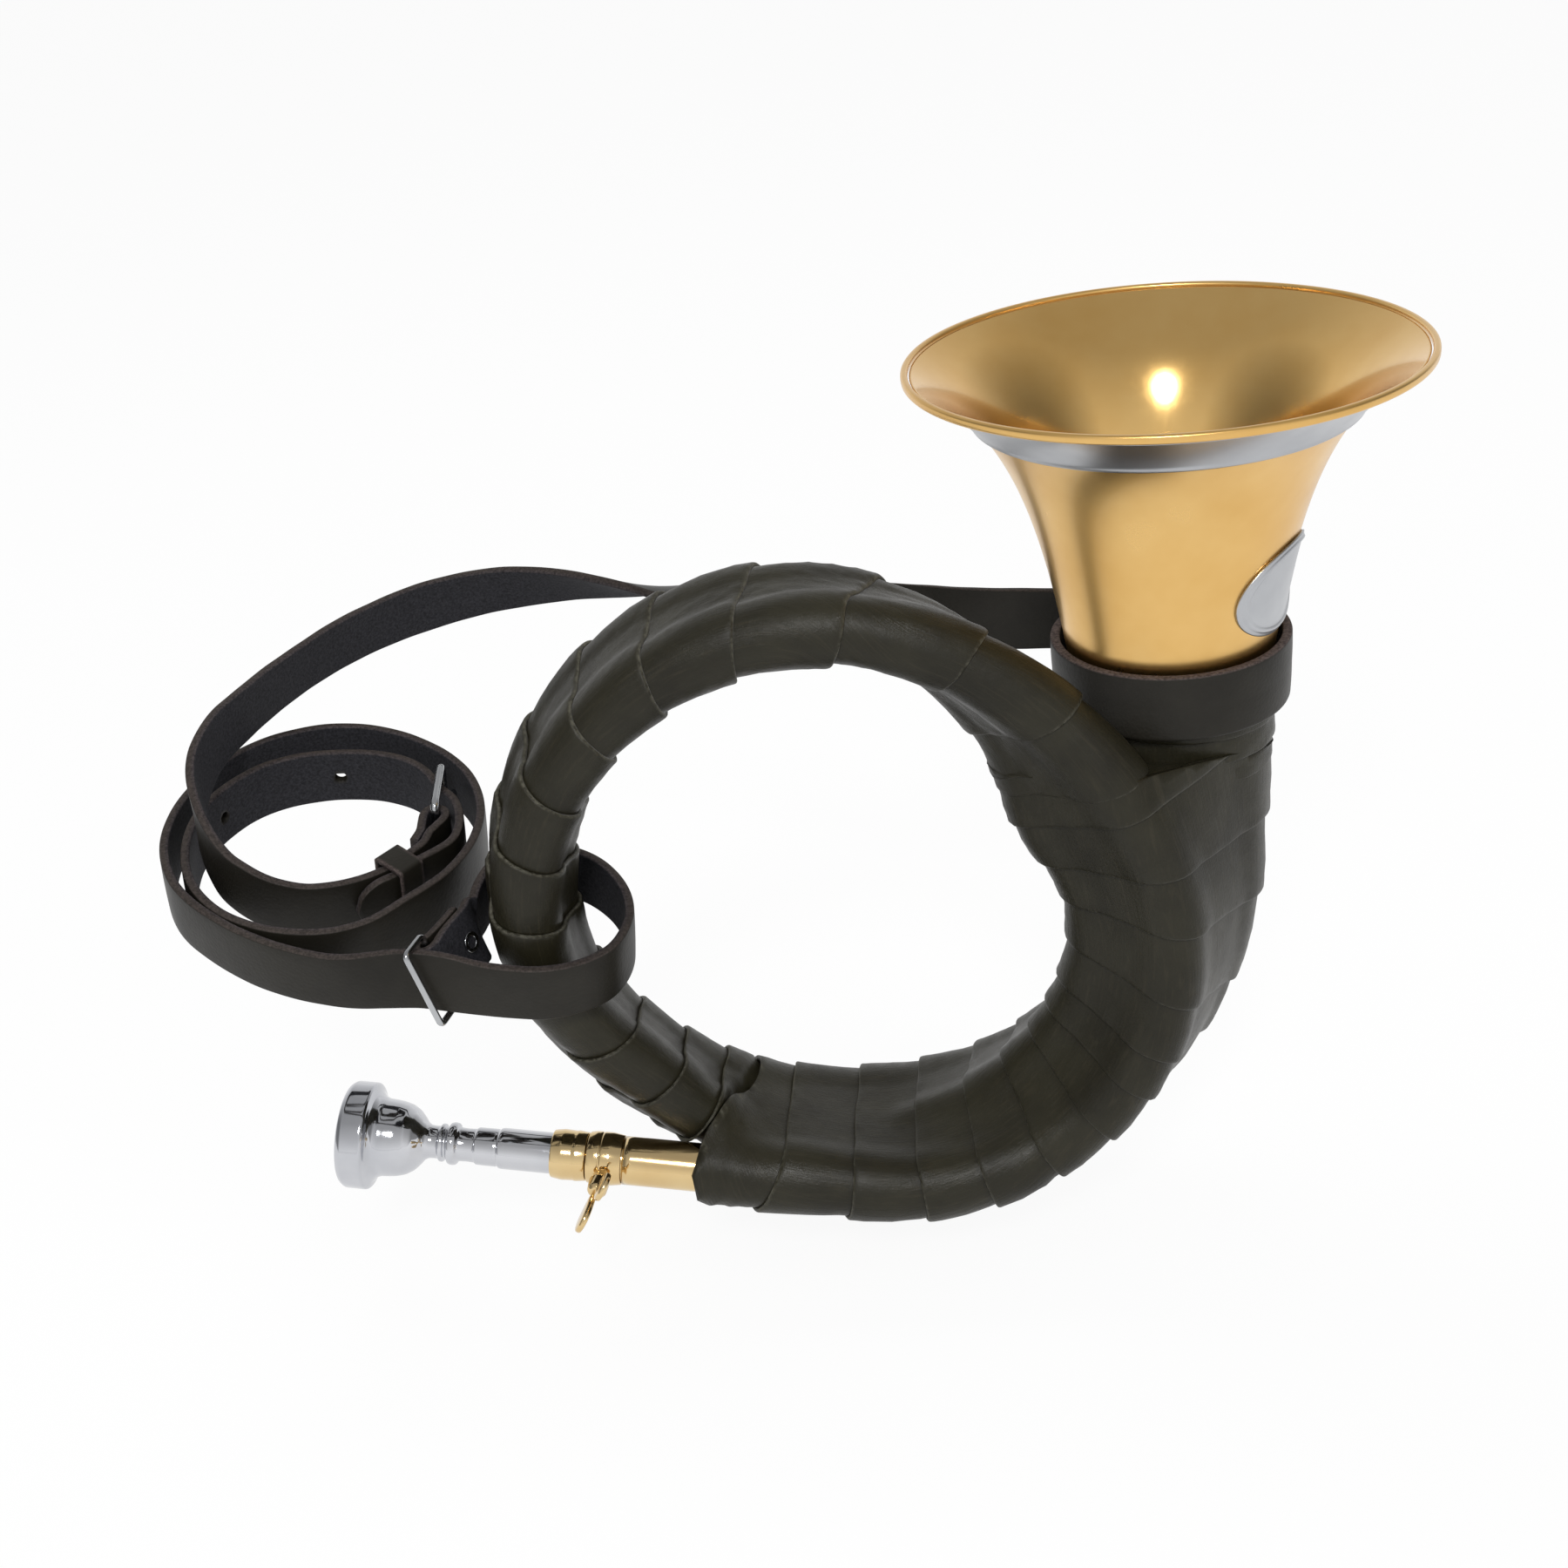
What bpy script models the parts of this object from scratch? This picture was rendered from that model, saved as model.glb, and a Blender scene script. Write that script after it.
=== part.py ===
"""Tunable hunting horn in B flat, leather wound, with mouthpiece and carrying strap.

The bell stands upright along +Z. The origin is where the hand holds the leather bundle, on
the coil's right; +X points away from the coil's centre and +Y to the side of the bell.
Lengths are metres and angles are degrees unless a name says otherwise.

The tube makes two and a quarter turns. A place along it is given by its turn angle:
-90 is the coil's lowest point, where the lead pipe comes in, 0 the right side, 90 the top,
and so on round to 720, where the bell begins.
"""
import math

import bmesh
import bpy
import numpy as np
from mathutils import Matrix, Vector

# Clearances
FIT = 0.0003            # between pieces that touch
STRAP_FIT = 0.0005      # between layers of strap and metal

# The conical tube
COIL_RADIUS = 0.073     # mean radius of the turns
COIL_TUBE = 0.0055      # outer radius of the narrow end of the coil
TUBE_GROWTH = 0.150     # length over which the bow's widening falls to a third
TUBE_WALL = 0.0005
TUBE_STEP = 11.0        # angle between rings of the coil tubes
LEAD_END = -60.0        # where the lead pipe meets the first coil tube
FIRST_END = 282.0       # where the first coil tube meets the second
SECOND_END = 655.0      # where the second coil tube meets the bell's bow
BELL_START = 720.0
JOINT_GAP = FIT         # between the ends of two tubes inside a ferrule

# The bell
BELL_RADIUS = 0.0573    # outside of the rim bead
BELL_HEIGHT = 0.1215    # rim above the coil's centre
FLARE_LENGTH = 0.0143   # how gently the mouth opens
BELL_LIP = 0.001        # the sheet ends this far below the rim bead's top
GARLAND_WIDTH = 0.0125
GARLAND_TOP = 0.0030    # below the rim
GARLAND_THICK = 0.0004
BEAD_WIRE = 0.0016      # width of the rim bead's section
BEAD_LAND = 0.0008      # width of its flat top
BADGE_TALL = 0.0228
BADGE_WIDE = 0.0350     # measured round the bell
BADGE_THICK = 0.0008
BADGE_HEIGHT = 0.0705   # centre above the coil's centre
BADGE_TURN = -34.0      # its side of the bell, from +X towards +Y

# The straight end: lead pipe, clamp, tuning slide and mouthpiece
LEAD_RADIUS = 0.0060
LEAD_WALL = 0.00035
LEAD_LEAN = 0.17        # sideways run of the lead line for each unit outwards
LEAD_RISE = 0.134       # rise of the lead line for each unit outwards
PIPE_END = 0.0613       # from the coil's lowest point, along the line
COLLAR_LENGTH = 0.0087
COLLAR_RADIUS = 0.0066
SLIDE_WALL = 0.0004
SLIDE_DEPTH = 0.030     # length of slide inside the lead pipe
SLIDE_TRAVEL = 0.015
RECEIVER_LENGTH = 0.0088
RECEIVER_RADIUS = 0.0063
MOUTHPIECE_LENGTH = 0.0757
SHANK_DEPTH = 0.023
RIM_RADIUS = 0.01335
CUP_RADIUS = 0.0083
CUP_DEPTH = 0.0115
THROAT_RADIUS = 0.00185
SCREW_RADIUS = 0.0016
SCREW_HUB = 0.0026
SCREW_REST = 65.0       # how far the wings are turned as the screw stands
WING_SPAN = 0.0125
WING_THICK = 0.0018

# Ferrules and stays inside the leather
FERRULE_LENGTH = 0.016
FERRULE_WALL = 0.0005
FERRULE_SIDES = 16
BEND_ROOM = 0.00035     # a curved tube's facets stand this far off its curve
STAY_LENGTH = 0.009
STAY_WIDTH = 0.006

# Leather winding
LEATHER = 0.0008
LAYER_GAP = 0.00045     # between a lap and the layer under it
LAP = 0.22              # part of a turn's pitch that covers the turn before
WRAP_ROOM = 0.0011      # between tube and leather, for the facets of both
THROAT_ROOM = 0.0005    # the same on the straight throat
BUNDLE_ROOM = 0.0015    # and over the three tubes, where the bow is wide
BUNDLE_START = -120.0
BUNDLE_END = 14.0
BUNDLE_TURNS = 11
COIL_TURNS = 16
THROAT_TOP = 0.0397
THROAT_TURNS = 2
WRAP_GAP_ANGLE = 1.1    # between two windings, as a turn angle
WRAP_SKEW = 7.0         # the windings' meeting line slants along the lead pipe
SKEW_FADE = 40.0        # and the slant fades over this turn angle

# Strap
STRAP_WIDTH = 0.0155
STRAP_THICK = 0.0022
COLLAR_LOW = 0.0404     # strap collar round the bell's throat, above the coil's centre
COLLAR_ROOM = 0.0006
WIRE = 0.0016           # slide loop
BUCKLE_WIRE = 0.0022
BUCKLE_LENGTH = 0.0165
PRONG_WIRE = 0.0018
EYELET_RADIUS = 0.0024
EYELET_BORE = 0.0014
EYELET_WALL = 0.0004
KEEPER_LENGTH = 0.007
KEEPER_THICK = 0.0016
KEEPER_SIDE = -1        # the keeper's leather lies to this side of the band
HOLE_RADIUS = 0.0015
LOOP_LEVEL = -0.0049    # height of the strap loops where the noose passes in front
LOOP_PITCH = 0.114      # rise of the loops' plane for each unit to the left
LOOP_TILT = 0.20        # and for each unit back

COLOURS = {
    "gold_brass": ((0.72, 0.43, 0.14), 0.16, 1.0),
    "yellow_brass": ((0.62, 0.47, 0.25), 0.2, 1.0),
    "nickel_silver": ((0.60, 0.58, 0.54), 0.2, 1.0),
    "silver": ((0.74, 0.75, 0.76), 0.12, 1.0),
    "olive_leather": ((0.036, 0.031, 0.022), 0.42, 0.0),
    "strap_leather": ((0.018, 0.015, 0.012), 0.5, 0.0),
}


def clear_scene():
    for thing in list(bpy.data.objects):
        bpy.data.objects.remove(thing)


def collection(name):
    group = bpy.data.collections.new(name)
    bpy.context.scene.collection.children.link(group)
    return group


def material(name, finish):
    """A Principled material; the finish gives colour, roughness and metallic value."""
    colour, roughness, metallic = COLOURS[finish]
    surface = bpy.data.materials.new(name)
    surface.use_nodes = True
    shader = surface.node_tree.nodes["Principled BSDF"]
    shader.inputs["Base Color"].default_value = (*colour, 1.0)
    shader.inputs["Roughness"].default_value = roughness
    shader.inputs["Metallic"].default_value = metallic
    return surface


def add_object(name, data, finish, parent):
    piece = bpy.data.objects.new(name, data)
    HORN_PARTS.objects.link(piece)
    piece.parent = parent
    if finish:
        data.materials.append(material(name, finish))
    return piece


def add_cutter(name, data, parent):
    cutter = bpy.data.objects.new(name, data)
    CUTTERS.objects.link(cutter)
    cutter.parent = parent
    cutter.hide_render = True
    cutter.display_type = "WIRE"
    return cutter


def add_empty(name, matrix, parent=None):
    empty = bpy.data.objects.new(name, None)
    HORN_PARTS.objects.link(empty)
    empty.parent = parent
    empty.matrix_local = matrix
    return empty


def turned(name, profile, finish, parent, steps=32, closed=True):
    """Turns (radius, height) pairs about Z. The profile runs down the outside first."""
    mesh = bpy.data.meshes.new(name)
    corners = [(radius, 0.0, height) for radius, height in profile]
    edges = [(i, i + 1) for i in range(len(corners) - 1)]
    if closed:
        edges.append((len(corners) - 1, 0))
    mesh.from_pydata(corners, edges, [])
    piece = add_object(name, mesh, finish, parent)
    screw = piece.modifiers.new("Turn", "SCREW")
    screw.steps = steps
    screw.render_steps = steps
    screw.use_merge_vertices = True
    screw.merge_threshold = 0.00001
    return piece


def swept_mesh(name, points, radii, resolution, caps):
    """The mesh of a round bar or tube through the points, with a radius for each."""
    curve = bpy.data.curves.new(name, "CURVE")
    curve.dimensions = "3D"
    curve.bevel_depth = 1.0
    curve.bevel_resolution = resolution
    curve.use_fill_caps = caps
    spline = curve.splines.new("POLY")
    spline.points.add(len(points) - 1)
    for knot, point, radius in zip(spline.points, points, radii):
        knot.co = (*point, 1.0)
        knot.radius = radius
    holder = bpy.data.objects.new(name, curve)
    bpy.context.scene.collection.objects.link(holder)
    graph = bpy.context.evaluated_depsgraph_get()
    mesh = bpy.data.meshes.new_from_object(holder.evaluated_get(graph))
    bpy.data.objects.remove(holder)
    bpy.data.curves.remove(curve)
    welded = bmesh.new()
    welded.from_mesh(mesh)
    bmesh.ops.remove_doubles(welded, verts=welded.verts, dist=0.000005)
    welded.to_mesh(mesh)
    welded.free()
    return mesh


def tube(name, run, wall, finish, parent, sides=8):
    """A hollow tube: the open outer surface, thickened inwards.

    The run gives the centre, heading and radius of each ring; every ring stands square to it.
    """
    corners = []
    for centre, heading, radius in run:
        back = Vector((0.0, 1.0, 0.0))
        back = (back - heading * heading.dot(back)).normalized()
        other = heading.cross(back)
        for a in math.tau * (np.arange(sides) + 0.5) / sides:
            corners.append(centre + (back * math.cos(a) + other * math.sin(a)) * radius)
    faces = []
    for base in range(0, sides * (len(run) - 1), sides):
        for i in range(sides):
            j = (i + 1) % sides
            faces.append((base + i, base + j, base + sides + j, base + sides + i))
    mesh = bpy.data.meshes.new(name)
    mesh.from_pydata(corners, [], faces)
    piece = add_object(name, mesh, finish, parent)
    thicken = piece.modifiers.new("Wall", "SOLIDIFY")
    thicken.thickness = wall
    thicken.offset = -1.0
    thicken.use_even_offset = True
    return piece


def rod(name, points, radius, finish, parent, resolution=2):
    mesh = swept_mesh(name, points, [radius] * len(points), resolution, caps=True)
    return add_object(name, mesh, finish, parent)


def cut(piece, cutter):
    boolean = piece.modifiers.new("Cut", "BOOLEAN")
    boolean.operation = "DIFFERENCE"
    boolean.solver = "EXACT"
    boolean.object = cutter


def smooth_curve(knots, values, at, start_slope=None):
    """Cubic through the values, with slopes taken from the neighbours of each knot."""
    knots = np.asarray(knots, float)
    values = np.asarray(values, float)
    slopes = np.gradient(values, knots, axis=0)
    if start_slope is not None:
        slopes[0] = start_slope
    at = np.atleast_1d(np.asarray(at, float))
    i = np.clip(np.searchsorted(knots, at) - 1, 0, len(knots) - 2)
    span = knots[i + 1] - knots[i]
    t = (at - knots[i]) / span
    shape = (-1,) + (1,) * (values.ndim - 1)
    t = t.reshape(shape)
    span = span.reshape(shape)
    return (
        (2 * t**3 - 3 * t**2 + 1) * values[i] + (t**3 - 2 * t**2 + t) * span * slopes[i]
        + (3 * t**2 - 2 * t**3) * values[i + 1] + (t**3 - t**2) * span * slopes[i + 1]
    )


def bell_radius(height):
    """Outer radius of the bell: it falls with the root of the distance below the mouth."""
    below = BELL_HEIGHT - height
    return BELL_RADIUS * np.sqrt(FLARE_LENGTH / (FLARE_LENGTH + below))


THROAT = float(bell_radius(0.0))


def tube_radius(turn):
    """Outer radius of the coil tube, widening towards the bell."""
    to_bell = np.radians(BELL_START - np.asarray(turn, float)) * COIL_RADIUS
    return COIL_TUBE + (THROAT - COIL_TUBE) * np.exp(-to_bell / TUBE_GROWTH)


def strand_radius(turn):
    return LEAD_RADIUS if turn <= LEAD_END else float(tube_radius(turn))


def beside(place, turn_here, turn_there, lean, room):
    """Where the strand next to one lies in a section of the coil.

    lean turns from straight back towards the outside; room is the space between the tubes.
    """
    reach = strand_radius(turn_here) + strand_radius(turn_there) + room
    away = math.radians(lean)
    return (place[0] + reach * math.sin(away), place[1] + reach * math.cos(away))


def strand_stations():
    """Distance from the coil's axis and depth of the tube at its main turn angles."""
    places = {}
    # Sections with two strands: first place, then lean and room of the second.
    pairs = (
        (45, -0.003, -0.0150, -35, 0.0050),
        (90, 0.0003, -0.0080, -2, 0.0038),
        (180, 0.000, -0.0060, 0, 0.0026),
        (225, -0.0065, -0.0005, 20, 0.0022),
    )
    for turn, out, depth, lean, room in pairs:
        first = (COIL_RADIUS + out, depth)
        places[turn] = first
        places[turn + 360] = beside(first, turn, turn + 360, lean, room)
    # Sections with three: the middle strand, then lean and room of the front and back ones.
    bundles = (
        (-90, 0.001, 0.0015, -173, 0.0067, 17, 0.0026),
        (-45, -0.005, -0.0030, 144, 0.0074, 46, 0.0048),
        (0, -0.0125, -0.0070, 130, 0.0072, 53, 0.0026),
    )
    for turn, out, depth, front_lean, front_room, back_lean, back_room in bundles:
        middle = (COIL_RADIUS + out, depth)
        places[turn + 360] = middle
        places[turn] = beside(middle, turn + 360, turn, front_lean, front_room)
        places[turn + 720] = beside(middle, turn + 360, turn + 720, back_lean, back_room)
    # The strands cross between the bundle and the coil: the middle one passes inside.
    places[22] = (COIL_RADIUS - 0.0016, places[0][1] - 0.0014)
    places[382] = (COIL_RADIUS - 0.0186, -0.0051)
    places[250] = (COIL_RADIUS + 0.0010, 0.0015)
    turns = sorted(places)
    return turns, [places[turn] for turn in turns]


TURNS, PLACES = strand_stations()
ENTRY = PLACES[0]
BELL_AXIS = PLACES[-1]
LEAD_OUT = Vector((-1.0, LEAD_LEAN, LEAD_RISE)).normalized()
LEAD_FOOT = Vector((0.0, ENTRY[1], -ENTRY[0]))
ENTRY_SLOPE = np.array([LEAD_RISE, -LEAD_LEAN]) * math.radians(1.0) * ENTRY[0]


def strand(turn):
    """Distance from the axis, depth and radius of the tube at a turn angle.

    Before the first station it is the straight lead pipe, and past the last the bell.
    """
    if turn < TURNS[0]:
        a = math.radians(turn)
        run = (LEAD_FOOT.z * math.cos(a) - LEAD_FOOT.x * math.sin(a)) / (
            LEAD_OUT.x * math.sin(a) - LEAD_OUT.z * math.cos(a)
        )
        point = LEAD_FOOT + LEAD_OUT * run
        return math.hypot(point.x, point.z), point.y, LEAD_RADIUS
    if turn > BELL_START:
        a = math.radians(turn - BELL_START)
        return (
            BELL_AXIS[0] / math.cos(a),
            BELL_AXIS[1],
            float(bell_radius(BELL_AXIS[0] * math.tan(a))),
        )
    reach, depth = smooth_curve(TURNS, PLACES, turn, ENTRY_SLOPE)[0]
    return float(reach), float(depth), strand_radius(turn)


def strand_point(turn):
    reach, depth, _ = strand(turn)
    a = math.radians(turn)
    return Vector((reach * math.cos(a), depth, reach * math.sin(a)))


def strand_length(start, end):
    samples = [strand_point(turn) for turn in np.linspace(start, end, 9)]
    return sum((b - a).length for a, b in zip(samples, samples[1:]))


def strand_run(start, end, step):
    """Centres, headings and radii of the tube between two turn angles."""
    count = max(2, math.ceil((end - start) / step))
    run = []
    for turn in np.linspace(start, end, count + 1):
        heading = strand_point(turn + 0.5) - strand_point(turn - 0.5)
        run.append((strand_point(turn), heading.normalized(), strand(turn)[2]))
    return run


def gap_angle(turn):
    """Half the gap between two tube ends, as a turn angle."""
    return math.degrees(JOINT_GAP / 2 / strand(turn)[0])


def build_tubes():
    join_lead, join_first, join_second = (gap_angle(t) for t in (LEAD_END, FIRST_END, SECOND_END))
    pipe = [(LEAD_FOOT + LEAD_OUT * PIPE_END, -LEAD_OUT, LEAD_RADIUS)]
    pipe += [(point, heading, LEAD_RADIUS) for point, heading, _ in
             strand_run(TURNS[0], LEAD_END - join_lead, TUBE_STEP)]
    tube("lead_pipe", pipe, LEAD_WALL, "yellow_brass", HORN, sides=20)
    run = strand_run(LEAD_END + join_lead, FIRST_END - join_first, TUBE_STEP)
    tube("first_coil_tube", run, TUBE_WALL, "gold_brass", HORN)
    run = strand_run(FIRST_END + join_first, SECOND_END - join_second, TUBE_STEP)
    tube("second_coil_tube", run, TUBE_WALL, "gold_brass", HORN)
    run = strand_run(SECOND_END + join_second, BELL_START, TUBE_STEP)
    top = BELL_HEIGHT - BELL_LIP
    # The rings draw together towards the mouth, where the bell curves most.
    rises = top * (1 - (1 - np.linspace(0, 1, 15)[1:]) ** 1.7)
    x, y = BELL_AXIS
    run += [(Vector((x, y, z)), Vector((0.0, 0.0, 1.0)), float(bell_radius(z))) for z in rises]
    tube("bell", run, TUBE_WALL, "gold_brass", HORN, sides=24)


def build_ferrules():
    """Sleeves over the three tube joints, all hidden in the leather."""
    for name, joint in (
        ("lead_ferrule", LEAD_END),
        ("coil_ferrule", FIRST_END),
        ("bow_ferrule", SECOND_END),
    ):
        half = math.degrees(FERRULE_LENGTH / 2 / strand(joint)[0])
        run = strand_run(joint - half, joint + half, TUBE_STEP / 2)
        bore = (max(radius for _, _, radius in run) + FIT + BEND_ROOM) / math.cos(math.pi / FERRULE_SIDES)
        run = [(point, heading, bore + FERRULE_WALL) for point, heading, _ in run]
        tube(name, run, FERRULE_WALL, "nickel_silver", HORN, FERRULE_SIDES)


def build_stays():
    """Small plates that lie between two turns where they run closest."""
    for name, turn in (("stay_top", 100.0), ("stay_left", 200.0), ("stay_bottom", 265.0)):
        front_reach, front_depth, front_radius = strand(turn)
        back_reach, back_depth, back_radius = strand(turn + 360)
        across = Vector((back_reach - front_reach, back_depth - front_depth))
        room = across.length - front_radius - back_radius
        across.normalize()
        reach = front_reach + across.x * (front_radius + room / 2)
        depth = front_depth + across.y * (front_radius + room / 2)
        a = math.radians(turn)
        outward = Vector((math.cos(a), 0, math.sin(a)))
        normal = (outward * across.x + Vector((0, 1, 0)) * across.y).normalized()
        along = Vector((-math.sin(a), 0, math.cos(a)))
        plate = bmesh.new()
        bmesh.ops.create_cube(plate, size=1.0)
        mesh = bpy.data.meshes.new(name)
        bmesh.ops.scale(plate, vec=(STAY_LENGTH, STAY_WIDTH, room - 2 * FIT - BEND_ROOM), verts=plate.verts)
        plate.to_mesh(mesh)
        plate.free()
        piece = add_object(name, mesh, "nickel_silver", HORN)
        turn_to = Matrix((along, normal.cross(along), normal)).transposed().to_4x4()
        piece.matrix_local = Matrix.Translation(outward * reach + Vector((0, depth, 0))) @ turn_to


def ferrule_swell(turn):
    """Extra room for a ferrule under the leather, and for a lap's length beside it."""
    for joint in (LEAD_END, FIRST_END, SECOND_END):
        half = math.degrees(FERRULE_LENGTH / 2 / COIL_RADIUS) + TUBE_STEP
        if abs(turn - joint) < half:
            widest = float(tube_radius(joint + half) - tube_radius(joint))
            return FIT * 2 + BEND_ROOM + FERRULE_WALL + widest
    return 0.0


def meeting_skew(turn, facing):
    """Slant of the line where the bundle's winding meets the coil's, in degrees of turn."""
    near = min(abs(turn - BUNDLE_START), abs(turn - BUNDLE_START - 360))
    return -WRAP_SKEW * math.cos(facing - math.pi / 4) * max(0.0, 1 - near / SKEW_FADE)


def coil_outline(turns, sides):
    """The outline round some strands in one section of the coil.

    For each of the directions round the section it takes the strand that reaches furthest.
    Gives the points, their outward directions and how far round the outline each lies.
    """
    a = math.radians(turns[0])
    outward = np.array([math.cos(a), 0.0, math.sin(a)])
    back = np.array([0.0, 1.0, 0.0])
    facing = np.radians(np.arange(sides) * 360.0 / sides)
    normals = np.stack([np.cos(facing), -np.sin(facing)], axis=1)
    best = np.full(sides, -np.inf)
    corners = np.zeros((sides, 2))
    for turn in turns:
        reach, depth, radius = strand(turn)
        ahead = strand(turn + 1.0)
        slant = math.radians(1.0) * reach
        radius += ferrule_swell(turn)
        wide = radius * math.hypot(1.0, (ahead[0] - reach) / slant)
        deep = radius * math.hypot(1.0, (ahead[1] - depth) / slant)
        spread = np.hypot(wide * normals[:, 0], deep * normals[:, 1])
        support = normals @ np.array([reach, depth]) + spread
        touch = np.array([reach, depth]) + normals * np.array([wide**2, deep**2]) / spread[:, None]
        further = support > best
        best[further] = support[further]
        corners[further] = touch[further]
    edges = np.linalg.norm(np.roll(corners, -1, axis=0) - corners, axis=1)
    edges += LEATHER
    share = np.concatenate([[0.0], np.cumsum(edges)[:-1]]) / edges.sum()
    points = corners[:, :1] * outward + corners[:, 1:] * back
    directions = normals[:, :1] * outward + normals[:, 1:] * back
    return points, directions, share


def throat_outline(level, sides):
    """The outline round the bell's throat: level 0 lies on the bundle's end, 1 is flat on top."""
    facing = np.radians(180 - np.arange(sides) * 360.0 / sides)
    directions = np.stack([np.cos(facing), np.sin(facing), np.zeros(sides)], axis=1)
    x, y = BELL_AXIS
    slope = math.tan(math.radians(BUNDLE_END + 2 * WRAP_GAP_ANGLE))
    low = (x + THROAT * directions[:, 0]) * slope + LEATHER
    heights = low + level * (THROAT_TOP - low)
    points = np.array([x, y, 0.0]) + directions * bell_radius(heights)[:, None]
    points[:, 2] = heights
    return points, directions, np.arange(sides) / sides


def winding(name, outline, start, end, turns, sides, skew=None, room=WRAP_ROOM):
    """One leather strip wound in laps, each lap lying over the edge of the one before.

    The strip's section leans, so that its near edge lies on top of the last lap and its far
    edge lies on the tube. The section has four points across, at both edges of each overlap.
    """
    pitch = (end - start) / (turns + LAP)
    lap = LAP * pitch
    sliver = 0.07 * pitch
    climb = (LEATHER + LAYER_GAP) / pitch
    rings = []
    first_step = math.ceil(0.16 * sides)
    for step in range(first_step, sides * (turns + 2)):
        side = step % sides
        middle = start + pitch * min(max(step / sides - 0.4, 0.0), turns)
        share = outline(middle, sides)[2][side]
        near = start + pitch * (step // sides + share - 1.0)
        far = near + pitch + lap
        stops = [max(near, start), near + lap, near + pitch, min(far, end)]
        stops[1] = max(stops[1], stops[0] + sliver)
        stops[2] = min(stops[2], stops[3] - sliver)
        if stops[1] > stops[2] - sliver:
            if step > sides:
                break
            continue
        under = []
        over = []
        for stop in stops:
            slant = skew(stop, math.tau * side / sides) if skew else 0.0
            points, directions, _ = outline(stop + slant, sides)
            lift = room + climb * (far - stop)
            under.append(points[side] + directions[side] * lift)
            over.append(points[side] + directions[side] * (lift + LEATHER))
        rings.append(under + over[::-1])
    rings = np.array(rings)
    check_layers(name, rings, sides)
    size = rings.shape[1]
    faces = []
    for ring in range(len(rings) - 1):
        for corner in range(size):
            following = (corner + 1) % size
            faces.append((
                ring * size + corner,
                ring * size + following,
                (ring + 1) * size + following,
                (ring + 1) * size + corner,
            ))
    faces.append(tuple(range(size))[::-1])
    faces.append(tuple((len(rings) - 1) * size + corner for corner in range(size)))
    mesh = bpy.data.meshes.new(name)
    mesh.from_pydata([tuple(point) for point in rings.reshape(-1, 3)], [], faces)
    outwards(mesh)
    return add_object(name, mesh, "olive_leather", HORN)


def outwards(mesh):
    """Turns every face to point out."""
    shell = bmesh.new()
    shell.from_mesh(mesh)
    bmesh.ops.recalc_face_normals(shell, faces=shell.faces)
    shell.to_mesh(mesh)
    shell.free()


def check_layers(name, rings, sides):
    """Prints the least gap between the top of each lap and the lap that lies over it."""
    last = rings.shape[1] - 1
    top = rings[:-sides, last - 2:last - 4:-1]
    cover = rings[sides:, 0:2]
    gap = np.linalg.norm(cover - top, axis=2).min()
    print(f"{name}: least gap between laps {gap * 1000:.2f} mm")


def build_windings():
    winding(
        "bundle_winding",
        lambda turn, sides: coil_outline((turn, turn + 360, turn + 720), sides),
        BUNDLE_START, BUNDLE_END - WRAP_GAP_ANGLE, BUNDLE_TURNS, 16, meeting_skew,
        BUNDLE_ROOM,
    )
    winding(
        "coil_winding",
        lambda turn, sides: coil_outline((turn, turn + 360), sides),
        BUNDLE_END + WRAP_GAP_ANGLE, BUNDLE_START + 360 - WRAP_GAP_ANGLE, COIL_TURNS, 13, meeting_skew,
    )
    winding("throat_winding", throat_outline, 0.0, 1.0, THROAT_TURNS, 20, room=THROAT_ROOM)


def build_bell_trim():
    """Rim bead, garland and badge."""
    steps = 40
    hug = 1 / math.cos(math.pi / steps)
    axis = add_empty("bell_axis", Matrix.Translation((*BELL_AXIS, 0.0)), HORN)
    outer = BELL_RADIUS
    inner = outer - BEAD_WIRE
    land_out = outer - (BEAD_WIRE - BEAD_LAND) / 2
    land_in = land_out - BEAD_LAND
    side = (BEAD_WIRE - BEAD_LAND) / 2
    top = BELL_HEIGHT
    bead = [
        (land_in, top), (land_out, top), (outer, top - side),
        (outer, top - BEAD_WIRE), (land_out, top - BEAD_WIRE - side),
        (land_in, top - BEAD_WIRE - side), (inner, top - BEAD_WIRE), (inner, top - side),
    ]
    turned("rim_bead", bead, "gold_brass", axis, steps=48)

    heights = top - np.linspace(GARLAND_TOP, GARLAND_WIDTH, 4)
    radii = bell_radius(heights)
    slopes = np.gradient(radii, heights)
    lean = 1 / np.hypot(1.0, slopes)
    shift = np.stack([lean, -slopes * lean], axis=1)
    surface = np.stack([radii * hug, heights], axis=1)
    inside = surface + shift * (FIT * 2)
    outside = inside + shift * GARLAND_THICK
    profile = [tuple(p) for p in outside] + [tuple(p) for p in inside[::-1]]
    turned("garland", profile, "nickel_silver", axis, steps=steps)
    build_badge(axis)


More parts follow.
